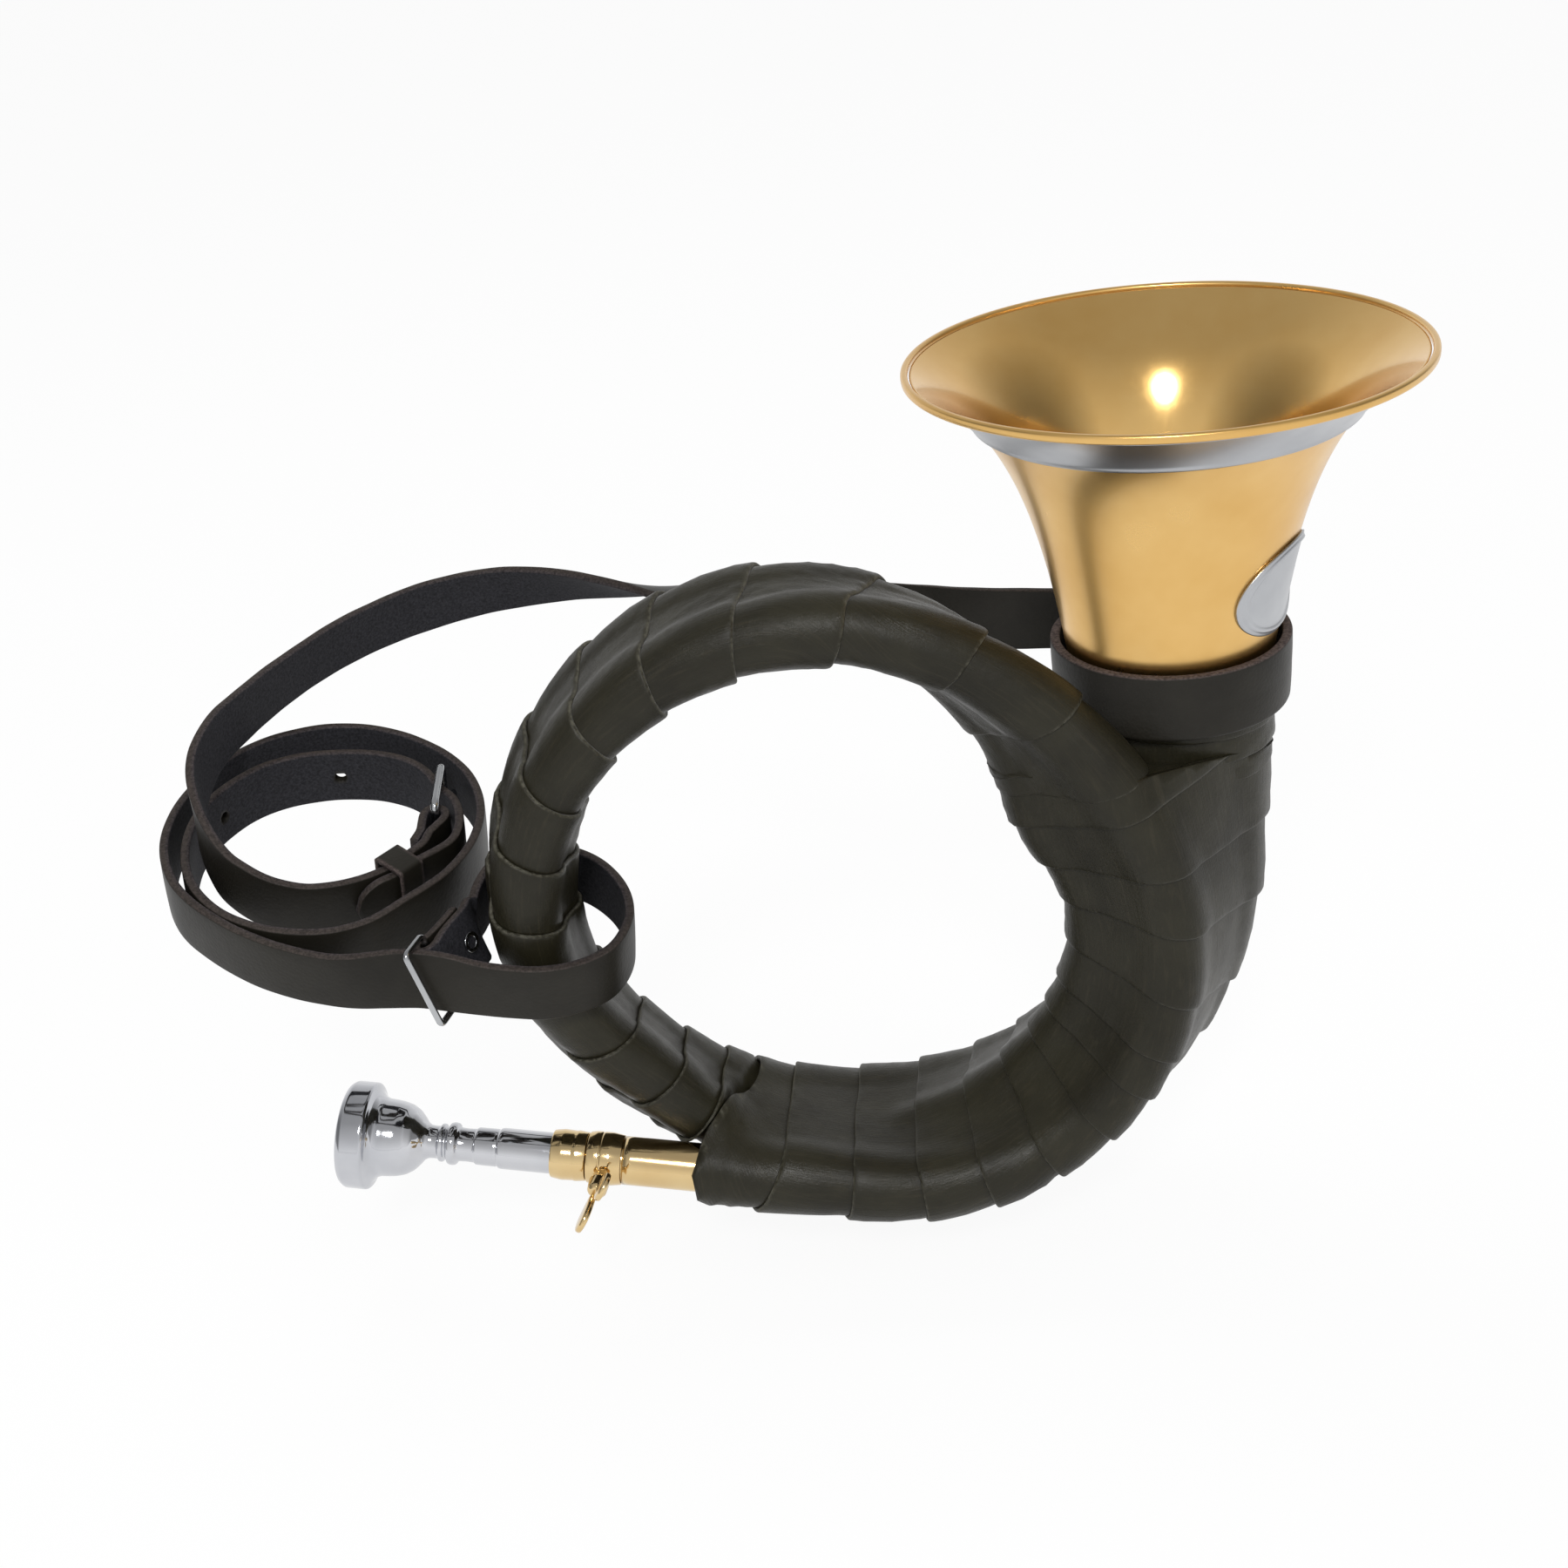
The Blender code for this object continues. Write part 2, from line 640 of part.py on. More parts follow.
def build_badge(axis):
    """An oval plate bent to the bell: rings of points round its centre, front and back."""
    sides = 24
    shares = (0.5, 1.0)
    lifts = (FIT * 2, FIT * 2 + BADGE_THICK)
    layers = []
    for lift in lifts:
        layer = [(0.0, 0.0)]
        for share in shares:
            for i in range(sides):
                a = math.tau * i / sides
                layer.append((share * BADGE_WIDE / 2 * math.cos(a), share * BADGE_TALL / 2 * math.sin(a)))
        layers.append([badge_point(across, up, lift) for across, up in layer])
    corners = layers[0] + layers[1]
    size = len(layers[0])
    faces = []
    for i in range(sides):
        j = (i + 1) % sides
        for base in (0, size):
            faces.append((base, base + 1 + i, base + 1 + j))
            faces.append((base + 1 + i, base + 1 + sides + i, base + 1 + sides + j, base + 1 + j))
        faces.append((1 + sides + i, 1 + sides + j, size + 1 + sides + j, size + 1 + sides + i))
    mesh = bpy.data.meshes.new("badge")
    mesh.from_pydata(corners, [], faces)
    outwards(mesh)
    add_object("badge", mesh, "nickel_silver", axis)


def badge_point(across, up, lift):
    """A point of the badge, from its place on the bell's skin and its height above it."""
    height = BADGE_HEIGHT + up
    radius = float(bell_radius(height))
    facing = math.radians(BADGE_TURN) + across / radius
    radius += lift + radius * (1 - math.cos(math.pi / 24))
    return (radius * math.cos(facing), radius * math.sin(facing), height)


def build_lead_end():
    """Collar, thumb screw, tuning slide and mouthpiece, all on the lead pipe's line."""
    facing = LEAD_OUT.to_track_quat("Z", "Y").to_matrix().to_4x4()
    line = add_empty("lead_line", Matrix.Translation(LEAD_FOOT) @ facing, HORN)
    bore = LEAD_RADIUS - LEAD_WALL
    low = PIPE_END + FIT
    high = low + COLLAR_LENGTH
    collar = [
        (LEAD_RADIUS + FIT, high), (COLLAR_RADIUS, high - COLLAR_LENGTH * 0.2),
        (COLLAR_RADIUS, low + COLLAR_LENGTH * 0.35), (LEAD_RADIUS, low), (bore, low), (bore, high),
    ]
    clamp = turned("clamp_collar", collar, "yellow_brass", line, steps=24)
    build_thumb_screw(line, clamp, (low + high) / 2)

    slide_outer = bore - FIT
    slide_bore = slide_outer - SLIDE_WALL
    mouth = high + FIT + RECEIVER_LENGTH
    slide = add_empty("slide_axis", Matrix.Translation((0, 0, mouth)), line)
    receiver = [
        (RECEIVER_RADIUS - 0.0004, 0.0), (RECEIVER_RADIUS, -RECEIVER_LENGTH * 0.3),
        (RECEIVER_RADIUS - 0.0003, -RECEIVER_LENGTH), (slide_outer, -RECEIVER_LENGTH),
        (slide_outer, -RECEIVER_LENGTH - COLLAR_LENGTH - SLIDE_DEPTH),
        (slide_bore, -RECEIVER_LENGTH - COLLAR_LENGTH - SLIDE_DEPTH),
        (slide_bore, -RECEIVER_LENGTH), (shank_radius(0.0) + FIT, 0.0),
    ]
    turned("tuning_slide", receiver, "yellow_brass", slide, steps=24)
    rim = MOUTHPIECE_LENGTH - SHANK_DEPTH
    cup = add_empty("mouthpiece_axis", Matrix.Translation((0, 0, rim)), slide)
    turned("mouthpiece", mouthpiece_profile(), "silver", cup, steps=20)


def shank_radius(depth):
    """Radius of the mouthpiece's shank at a depth inside the receiver."""
    return 0.0051 - 0.026 * depth


def mouthpiece_profile():
    """Outside from the rim to the shank's end, then the bore back up to the cup."""
    end = MOUTHPIECE_LENGTH
    seat = end - SHANK_DEPTH
    outside = [
        (CUP_RADIUS + 0.0026, 0.0), (RIM_RADIUS - 0.0009, -0.0005), (RIM_RADIUS, -0.0016),
        (RIM_RADIUS, -0.0066), (RIM_RADIUS - 0.0012, -0.0072), (0.0106, -0.0086),
        (0.0096, -0.0098), (0.0095, -0.0130), (0.0087, -0.0160), (0.0070, -0.0186),
        (0.0046, -0.0204), (0.0041, -0.0214), (0.0041, -0.0238), (0.0047, -0.0247),
        (0.0042, -0.0256), (0.0053, -0.0264), (0.0053, -0.0284), (0.0042, -0.0294),
        (0.0042, -0.0330), (0.0046, -0.0336), (0.0046, -0.0386), (0.0051, -0.0392),
        (shank_radius(0.0), -seat), (shank_radius(SHANK_DEPTH), -end),
    ]
    back_bore = shank_radius(SHANK_DEPTH) - 0.0006
    inside = [
        (back_bore, -end), (THROAT_RADIUS, -CUP_DEPTH - 0.012), (THROAT_RADIUS, -CUP_DEPTH - 0.001),
        (CUP_RADIUS * 0.55, -CUP_DEPTH * 0.85), (CUP_RADIUS * 0.85, -CUP_DEPTH * 0.55),
        (CUP_RADIUS, -0.0015), (CUP_RADIUS + 0.0009, -0.0003),
    ]
    return outside + inside


def build_thumb_screw(line, clamp, height):
    """The wing screw that presses on the slide, with the threaded hole it runs in."""
    boss_end = COLLAR_RADIUS + 0.0012
    face_down = Matrix.Rotation(math.pi / 2, 4, "Y") @ Matrix.Rotation(math.radians(SCREW_REST), 4, "Z")
    axis = add_empty("thumb_screw_axis", Matrix.Translation((0, 0, height)) @ face_down, line)
    hole = bpy.data.meshes.new("screw_hole")
    drill = bmesh.new()
    bmesh.ops.create_cone(
        drill, cap_ends=True, segments=16, radius1=SCREW_RADIUS + FIT, radius2=SCREW_RADIUS + FIT,
        depth=0.012, matrix=Matrix.Translation((0, 0, 0.0085)),
    )
    drill.to_mesh(hole)
    drill.free()
    cut(clamp, add_cutter("screw_hole", hole, axis))
    tip = LEAD_RADIUS - LEAD_WALL + FIT * 0.5
    hub_low = boss_end + 0.0016
    hub_high = hub_low + 0.0040
    stem = [
        (0.0, hub_high), (SCREW_HUB * 0.8, hub_high), (SCREW_HUB, hub_high - 0.0006),
        (SCREW_HUB, hub_low), (SCREW_RADIUS, hub_low), (SCREW_RADIUS, tip), (0.0, tip),
    ]
    screw = turned("thumb_screw", stem, "yellow_brass", axis, steps=20, closed=False)
    for side in (-1, 1):
        outline = wing_outline(side, hub_low)
        mesh = bpy.data.meshes.new(f"wing_{side}")
        half = WING_THICK / 2
        corners = [(x, -half, z) for x, z in outline] + [(x, half, z) for x, z in outline]
        count = len(outline)
        faces = [tuple(range(count)), tuple(range(count, 2 * count))[::-1]]
        faces += [(i, (i + 1) % count, count + (i + 1) % count, count + i) for i in range(count)]
        mesh.from_pydata(corners, [], faces)
        outwards(mesh)
        join = screw.modifiers.new("Wing", "BOOLEAN")
        join.operation = "UNION"
        join.solver = "EXACT"
        join.object = add_cutter(f"wing_{side}", mesh, axis)


def wing_outline(side, low):
    """A rounded ear from the hub outwards: a root, then half a circle."""
    ear = 0.0036
    reach = WING_SPAN - ear
    centre = (reach * math.cos(math.radians(50)), low + 0.0012 + reach * math.sin(math.radians(50)))
    arc = np.radians(np.linspace(-40, 140, 8))
    points = [(0.0006, low + 0.0035), (0.0006, low + 0.0004), (SCREW_HUB * 0.9, low + 0.0004)]
    points += [(centre[0] + ear * math.cos(a), centre[1] + ear * math.sin(a)) for a in arc]
    return [(side * x, z) for x, z in points]


LOOP_UP = Vector((LOOP_PITCH, -LOOP_TILT, 1.0)).normalized()


def loop_point(x, y):
    """A plan point, in millimetres from the coil's axis, laid on the strap loops' plane."""
    front = Vector((-COIL_RADIUS + 0.0055, -0.017))
    x /= 1000
    y /= 1000
    return Vector((x, y, LOOP_LEVEL + LOOP_PITCH * (front.x - x) + LOOP_TILT * (y - front.y)))


def fold(bar, up, heading, side, tail, bar_wire):
    """A strap's end folded round an upright bar, from the tail's end back past the bar.

    The strap leaves the bar along its heading. The tail lies on its left where side is 1.
    """
    up = up.normalized()
    ahead = Vector((*heading, 0.0))
    ahead = (ahead - up * ahead.dot(up)).normalized()
    left = up.cross(ahead) * side
    bend = bar_wire / 2 + STRAP_FIT + STRAP_THICK / 2
    close = (STRAP_THICK + STRAP_FIT) / 2
    path = [bar + ahead * tail + left * close, bar + ahead * tail * 0.6 + left * close]
    path.append(bar + ahead * bend * 1.5 + left * (bend + close) / 2)
    for a in np.radians(np.linspace(0, 180, 7)):
        path.append(bar + (left * math.cos(a) - ahead * math.sin(a)) * bend)
    path.append(bar + ahead * bend * 1.5 - left * (bend + close) / 2)
    path.append(bar + ahead * tail * 0.6 - left * close)
    path.append(bar + ahead * tail - left * close)
    return path


def strap_route(points, ups, spacing=0.0055):
    """Even steps along smooth points: place, direction and width direction at each."""
    points = [Vector(point) for point in points]
    steps = [(b - a).length for a, b in zip(points, points[1:])]
    lengths = np.concatenate([[0.0], np.cumsum(steps)])
    stops = []
    for a, b in zip(lengths, lengths[1:]):
        count = max(1, round((b - a) / spacing))
        stops += list(np.linspace(a, b, count, endpoint=False))
    stops.append(lengths[-1])
    places = smooth_curve(lengths, [tuple(point) for point in points], stops)
    widths = smooth_curve(lengths, [tuple(up) for up in ups], stops)
    tangents = np.gradient(places, stops, axis=0)
    tangents /= np.linalg.norm(tangents, axis=1)[:, None]
    widths -= tangents * (widths * tangents).sum(axis=1)[:, None]
    widths /= np.linalg.norm(widths, axis=1)[:, None]
    return places, tangents, widths


def strap(name, route):
    """A flat strap: an open ribbon along the route, thickened both ways."""
    places, _, widths = route
    low = places - widths * STRAP_WIDTH / 2
    high = places + widths * STRAP_WIDTH / 2
    corners = np.stack([low, high], axis=1).reshape(-1, 3)
    faces = [(2 * i, 2 * i + 2, 2 * i + 3, 2 * i + 1) for i in range(len(places) - 1)]
    mesh = bpy.data.meshes.new(name)
    mesh.from_pydata([tuple(corner) for corner in corners], [], faces)
    piece = add_object(name, mesh, "strap_leather", HORN)
    thicken = piece.modifiers.new("Thickness", "SOLIDIFY")
    thicken.thickness = STRAP_THICK
    thicken.offset = 0.0
    thicken.use_even_offset = True
    return piece


def on_route(route, point):
    """The frame of a strap nearest to a point: X along it, Y its width, Z out of its face."""
    places, tangents, widths = route
    at = int(np.argmin(np.linalg.norm(places - np.array(point), axis=1)))
    along = Vector(tangents[at])
    wide = Vector(widths[at])
    turn_to = Matrix((along, wide, along.cross(wide))).transposed().to_4x4()
    return Matrix.Translation(places[at]) @ turn_to


def drill(name, radius, depth, matrix):
    """A cutter: an upright cylinder laid on a frame's Z."""
    mesh = bpy.data.meshes.new(name)
    shape = bmesh.new()
    bmesh.ops.create_cone(shape, cap_ends=True, segments=12, radius1=radius, radius2=radius, depth=depth)
    shape.to_mesh(mesh)
    shape.free()
    cutter = add_cutter(name, mesh, HORN)
    cutter.matrix_local = matrix
    return cutter


def wire_frame(name, corners, wire):
    """A closed ring of round wire through four corners."""
    curve = bpy.data.curves.new(name, "CURVE")
    curve.dimensions = "3D"
    curve.bevel_depth = wire / 2
    curve.bevel_resolution = 2
    spline = curve.splines.new("POLY")
    rounded = []
    for before, corner, after in zip(corners[-1:] + corners[:-1], corners, corners[1:] + corners[:1]):
        rounded.append(corner + (before - corner).normalized() * wire * 0.8)
        rounded.append(corner + (after - corner).normalized() * wire * 0.8)
    spline.points.add(len(rounded) - 1)
    for knot, point in zip(spline.points, rounded):
        knot.co = (*point, 1.0)
    spline.use_cyclic_u = True
    holder = bpy.data.objects.new(name, curve)
    bpy.context.scene.collection.objects.link(holder)
    graph = bpy.context.evaluated_depsgraph_get()
    mesh = bpy.data.meshes.new_from_object(holder.evaluated_get(graph))
    bpy.data.objects.remove(holder)
    bpy.data.curves.remove(curve)
    return add_object(name, mesh, "nickel_silver", HORN)


# Plan points of the straps, in millimetres right of and behind the coil's axis.
NOOSE = [
    (-88.0, 4.6), (-86.6, 11.0), (-83.4, 18.6), (-75.0, 24.4), (-62.0, 22.0), (-53.0, 12.0),
    (-50.5, -0.5), (-55.5, -12.5), (-67.5, -18.6), (-83.0, -17.7), (-97.5, -16.9),
]
OUTER_LOOP = [
    (-118.0, -13.9), (-134.0, -8.5), (-147.5, 0.5), (-158.0, 12.0), (-163.0, 27.0),
    (-161.5, 43.0), (-155.0, 57.0), (-144.0, 68.0), (-128.0, 74.0), (-114.0, 72.5),
    (-101.0, 65.5), (-91.0, 54.0), (-87.0, 40.0), (-88.5, 27.0), (-94.5, 15.0),
]
INNER_LOOP = [
    (-103.5, 5.5), (-110.5, -1.0), (-118.5, -4.6), (-128.0, -5.2), (-138.0, -2.6), (-147.0, 3.0),
    (-154.0, 12.0), (-157.6, 25.0), (-156.5, 38.5), (-151.0, 49.5), (-143.0, 57.5), (-134.0, 61.5),
    (-124.0, 63.0), (-112.5, 61.8), (-105.5, 58.6), (-101.3, 54.6), (-98.2, 49.0), (-94.0, 43.6),
    (-92.1, 36.6),
]
NEAR_BAND = [(-103.6, 22.4), (-108.6, 17.0), (-116.5, 12.6), (-127.5, 10.6)]
SWEEP = [
    (-137.5, 11.0, 11.5), (-145.0, 13.6, 17.5), (-150.0, 19.5, 25.0), (-152.5, 30.0, 33.0),
    (-151.0, 45.0, 37.2), (-145.0, 63.0, 38.4), (-137.0, 80.5, 39.0), (-121.6, 103.5, 39.7),
    (-104.1, 116.8, 40.5), (-85.9, 121.3, 41.5), (-66.3, 117.5, 42.5), (-46.5, 106.4, 43.4),
    (-27.0, 93.0, 44.3), (-4.0, 76.5, 45.4), (20.0, 60.5, 46.5), (41.0, 48.5, 47.5),
    (56.0, 42.6, 48.0),
]
# How far the long strap's upper edge has turned towards the front at those points.
SWEEP_TWIST = [0, 0, 0, 2, 6, 12, 16, 16, 15, 22, 38, 58, 88, 122, 152, 172, 180]
SLIDE_FAR_BAR = Vector((-0.0948, -0.0118, 0.0002))
SLIDE_UP = Vector((-0.247, 0.0, 0.969))
SLIDE_HEADING = (0.50, 0.866)
SLIDE_NEAR_DEPTH = -0.0204
HINGE_BAR = (-98.2, 37.5)
HINGE_HEADING = (-0.28, -0.96)
END_BAR = (-97.5, 54.0)
TAIL = 0.0110
SLIDE_TAIL = 0.0142
THROUGH_LIFT = 0.0028   # of the band where it runs through the slide loop
EYELET_AT = 0.0105      # from the slide loop's far bar
KEEPER_AT = (-106.6, 19.0)
HOLES = [(-124.0, 63.0), (-152.5, 47.0)]


def build_straps():
    noose_end = fold(SLIDE_FAR_BAR, SLIDE_UP, SLIDE_HEADING, 1, SLIDE_TAIL, WIRE)
    band_start = fold(loop_point(*HINGE_BAR), LOOP_UP, HINGE_HEADING, -1, TAIL, BUCKLE_WIRE)
    band = [loop_point(*point) for point in NEAR_BAND]

    sweep = [Vector(point) / 1000 for point in SWEEP]
    x, y = BELL_AXIS
    collar_radius = float(bell_radius(COLLAR_LOW + STRAP_WIDTH)) + COLLAR_ROOM
    level = COLLAR_LOW + STRAP_WIDTH / 2
    reach = collar_radius + STRAP_THICK * 1.5 + STRAP_FIT
    for facing in (100, 82, 64):
        a = math.radians(facing)
        sweep.append(Vector((x + reach * math.cos(a), y + reach * math.sin(a), level)))
    ups = [LOOP_UP] * (len(band_start) + len(band)) + sweep_ups(sweep)
    long_route = strap_route(band_start + band + sweep, ups)
    long_strap = strap("long_strap", long_route)

    tongue = []
    run = [band_start[-1]] + band
    for before, here, after in zip(run, run[1:], run[2:]):
        outward = (after - before).cross(LOOP_UP).normalized() * -1
        tongue.append(here + outward * (STRAP_THICK + STRAP_FIT * 2.4))
    path = noose_end + [loop_point(*point) for point in NOOSE + OUTER_LOOP + INNER_LOOP]
    path += [loop_point(-93.2, 28.0)] + tongue
    ups = [SLIDE_UP] * len(noose_end) + [LOOP_UP] * (len(path) - len(noose_end))
    # The band leans with the slide loop where it runs through it.
    through = len(noose_end) + len(NOOSE) - 1
    path[through] += SLIDE_UP * THROUGH_LIFT
    ups[through] = SLIDE_UP
    short_route = strap_route(path, ups)
    short_strap = strap("short_strap", short_route)
    for number, spot in enumerate(HOLES):
        place = on_route(short_route, loop_point(*spot))
        cut(short_strap, drill(f"strap_hole_{number}", HOLE_RADIUS, 0.006, place))

    build_slide_loop(short_strap)
    build_buckle(short_strap, long_strap)
    build_keeper(long_route)
    collar = [
        (collar_radius + STRAP_THICK, level + STRAP_WIDTH / 2),
        (collar_radius + STRAP_THICK, level - STRAP_WIDTH / 2),
        (collar_radius, level - STRAP_WIDTH / 2),
        (collar_radius, level + STRAP_WIDTH / 2),
    ]
    turned("strap_collar", collar, "strap_leather", bpy.data.objects["bell_axis"], steps=32)


def sweep_ups(sweep):
    """Width directions of the long strap's free part: it turns over on its way to the bell."""
    ups = []
    twists = SWEEP_TWIST + [180.0] * (len(sweep) - len(SWEEP_TWIST))
    for i, twist in enumerate(twists):
        ahead = (sweep[min(i + 1, len(sweep) - 1)] - sweep[max(i - 1, 0)]).normalized()
        up = LOOP_UP if i < 3 else Vector((0.0, 0.0, 1.0))
        front = ahead.cross(up).normalized()
        a = math.radians(twist)
        ups.append(up * math.cos(a) + front * math.sin(a))
    return ups


def build_slide_loop(short_strap):
    """Wire loop that the strap runs through, and the eyelet that closes the fold round it."""
    up = SLIDE_UP.normalized()
    near = SLIDE_FAR_BAR.copy()
    near.y = SLIDE_NEAR_DEPTH
    near.x -= 0.0028
    half = up * (STRAP_WIDTH / 2 + STRAP_FIT * 3 + WIRE / 2)
    wire_frame("slide_loop", [near - half, SLIDE_FAR_BAR - half, SLIDE_FAR_BAR + half, near + half], WIRE)

    ahead = Vector((*SLIDE_HEADING, 0.0))
    ahead = (ahead - up * ahead.dot(up)).normalized()
    turn_to = Matrix((ahead, up, ahead.cross(up))).transposed().to_4x4()
    place = Matrix.Translation(SLIDE_FAR_BAR + ahead * EYELET_AT) @ turn_to
    cut(short_strap, drill("eyelet_hole", EYELET_BORE + EYELET_WALL + FIT, 0.008, place))
    half = STRAP_THICK + STRAP_FIT / 2 + FIT
    top = half + EYELET_WALL
    profile = [
        (EYELET_RADIUS, top), (EYELET_RADIUS, half), (EYELET_BORE + EYELET_WALL, half),
        (EYELET_BORE + EYELET_WALL, -half), (EYELET_RADIUS, -half), (EYELET_RADIUS, -top),
        (EYELET_BORE, -top), (EYELET_BORE, top),
    ]
    eyelet = turned("eyelet", profile, "nickel_silver", HORN, steps=16)
    eyelet.matrix_local = place


def build_buckle(short_strap, long_strap):
    """Frame, and prong that swings on the frame's hinge bar and lies on its end bar."""
    hinge = loop_point(*HINGE_BAR)
    end = loop_point(*END_BAR)
    half = LOOP_UP * (STRAP_WIDTH / 2 + STRAP_FIT * 2 + BUCKLE_WIRE / 2)
    wire_frame("buckle_frame", [hinge - half, end - half, end + half, hinge + half], BUCKLE_WIRE)

    ahead = (end - hinge).normalized()
    out = ahead.cross(LOOP_UP)
    turn_to = Matrix((ahead, out * -1, LOOP_UP)).transposed().to_4x4()
    axis = add_empty("prong_axis", Matrix.Translation(hinge) @ turn_to, HORN)
    bore = BUCKLE_WIRE / 2 + FIT
    rim = bore + PRONG_WIRE * 0.55
    ring = [(rim, PRONG_WIRE / 2), (rim, -PRONG_WIRE / 2), (bore, -PRONG_WIRE / 2), (bore, PRONG_WIRE / 2)]
    prong = turned("buckle_prong", ring, "nickel_silver", axis, steps=20)
    rest = -(BUCKLE_WIRE / 2 + PRONG_WIRE / 2 + FIT)
    reach = (end - hinge).length
    run = [(bore + 0.0005, -0.0004, 0), (0.005, -0.0010, 0), (reach - 0.002, rest, 0), (reach + 0.0022, rest, 0)]
    shaft = swept_mesh("prong_shaft", run, [PRONG_WIRE / 2] * len(run), 2, caps=True)
    join = prong.modifiers.new("Shaft", "BOOLEAN")
    join.operation = "UNION"
    join.solver = "EXACT"
    join.object = add_cutter("prong_shaft", shaft, axis)
    room = [PRONG_WIRE / 2 + STRAP_FIT * 1.2] * len(run)
    cut(short_strap, add_cutter("prong_hole", swept_mesh("prong_hole", run, room, 2, caps=True), axis))

    slot = bpy.data.meshes.new("fold_slot")
    box = bmesh.new()
    bmesh.ops.create_cube(box, size=1.0)
    bmesh.ops.scale(box, vec=(0.0085, 0.0085, PRONG_WIRE + STRAP_FIT * 2), verts=box.verts)
    bmesh.ops.translate(box, vec=(0.0008, 0.0, 0.0), verts=box.verts)
    box.to_mesh(slot)
    box.free()
    cut(long_strap, add_cutter("fold_slot", slot, axis))


def build_keeper(long_route):
    """A leather sleeve round the band and the tongue's end beside the buckle."""
    place = on_route(long_route, loop_point(*KEEPER_AT))
    wide = STRAP_WIDTH / 2 + STRAP_FIT * 2
    stack = STRAP_THICK * 2 + STRAP_FIT
    shift = (STRAP_THICK + STRAP_FIT) / 2
    deep = stack / 2 + STRAP_FIT * 3
    round_off = STRAP_THICK * 0.4
    outline = []
    for sy, sz in ((1, 1), (-1, 1), (-1, -1), (1, -1)):
        corner = [(sy * (wide - round_off), sz * deep), (sy * wide, sz * (deep - round_off))]
        outline += corner if sy * sz < 0 else corner[::-1]
    corners = []
    for x in (-KEEPER_LENGTH / 2, KEEPER_LENGTH / 2):
        corners += [(x, y, z + shift * KEEPER_SIDE) for y, z in outline]
    size = len(outline)
    faces = [(i, (i + 1) % size, size + (i + 1) % size, size + i) for i in range(size)]
    mesh = bpy.data.meshes.new("leather_keeper")
    mesh.from_pydata(corners, [], faces)
    piece = add_object("leather_keeper", mesh, "strap_leather", HORN)
    piece.matrix_local = place
    thicken = piece.modifiers.new("Thickness", "SOLIDIFY")
    thicken.thickness = KEEPER_THICK
    thicken.offset = 1.0
    thicken.use_even_offset = True


clear_scene()
HORN_PARTS = collection("hunting_horn")
CUTTERS = collection("cutters")
HORN = add_empty("horn", Matrix.Translation((-COIL_RADIUS, 0.0, 0.0)))
build_tubes()
build_ferrules()
build_stays()
build_windings()
build_bell_trim()
build_lead_end()
build_straps()
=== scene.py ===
# %% [markdown]
# # A small hunting horn, wound in leather
#
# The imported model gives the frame: where every piece of the horn is and which body it moves
# with. This script dresses that frame. Lengths are metres, +Z is up along the bell, +X points
# out through the leather grip and +Y away from the camera.
# %% Load the frame
import math

import bmesh
import bpy
import numpy as np
from mathutils import Matrix, Vector


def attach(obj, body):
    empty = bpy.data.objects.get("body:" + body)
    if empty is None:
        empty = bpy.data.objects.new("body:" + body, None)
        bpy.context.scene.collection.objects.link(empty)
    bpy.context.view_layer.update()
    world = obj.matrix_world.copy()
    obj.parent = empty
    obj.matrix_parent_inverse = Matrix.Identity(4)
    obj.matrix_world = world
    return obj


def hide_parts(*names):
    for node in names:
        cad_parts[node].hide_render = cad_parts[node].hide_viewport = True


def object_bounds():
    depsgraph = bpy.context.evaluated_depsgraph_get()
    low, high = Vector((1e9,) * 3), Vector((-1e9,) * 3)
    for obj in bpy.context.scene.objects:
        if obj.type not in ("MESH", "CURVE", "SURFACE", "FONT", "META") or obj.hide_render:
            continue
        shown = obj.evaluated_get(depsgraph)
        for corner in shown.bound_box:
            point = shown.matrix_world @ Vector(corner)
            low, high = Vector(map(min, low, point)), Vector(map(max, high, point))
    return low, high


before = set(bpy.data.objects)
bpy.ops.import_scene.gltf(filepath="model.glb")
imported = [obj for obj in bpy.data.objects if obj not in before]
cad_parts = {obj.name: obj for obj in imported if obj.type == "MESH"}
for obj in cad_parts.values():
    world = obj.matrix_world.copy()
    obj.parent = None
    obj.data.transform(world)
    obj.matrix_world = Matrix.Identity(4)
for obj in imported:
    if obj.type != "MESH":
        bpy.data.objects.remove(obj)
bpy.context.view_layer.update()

# %% [markdown]
# ## Putting arrays into meshes
#
# Almost every piece here is a grid: rows of points along the piece, columns round it. It could
# be drawn by hand or lathed with modifiers; computed as one array it follows its formula
# exactly, and a seam in the picture coordinates is easy to place. Grids close on themselves
# where a column or row index wraps, and open ends get a cap.
# %% Grid to mesh
WELD = 2e-6  # points nearer than this become one, at poles and seams


def grid_quads(rows, columns, wrap_rows, wrap_columns):
    """Corner indices of the quads of a grid, and for each corner its row and column unwrapped."""
    i = np.arange(rows if wrap_rows else rows - 1)
    j = np.arange(columns if wrap_columns else columns - 1)
    i, j = (a.ravel() for a in np.meshgrid(i, j, indexing="ij"))
    row = np.stack([i, i, i + 1, i + 1], axis=1)
    column = np.stack([j, j + 1, j + 1, j], axis=1)
    return (row % rows) * columns + column % columns, row, column


def picture_line(values, count):
    """Picture coordinates of count points and of the wrap after them; even steps if not given."""
    values = np.linspace(0, 1, count + 1) if values is None else np.asarray(values, float)
    return np.append(values, values[-1]) if len(values) == count else values


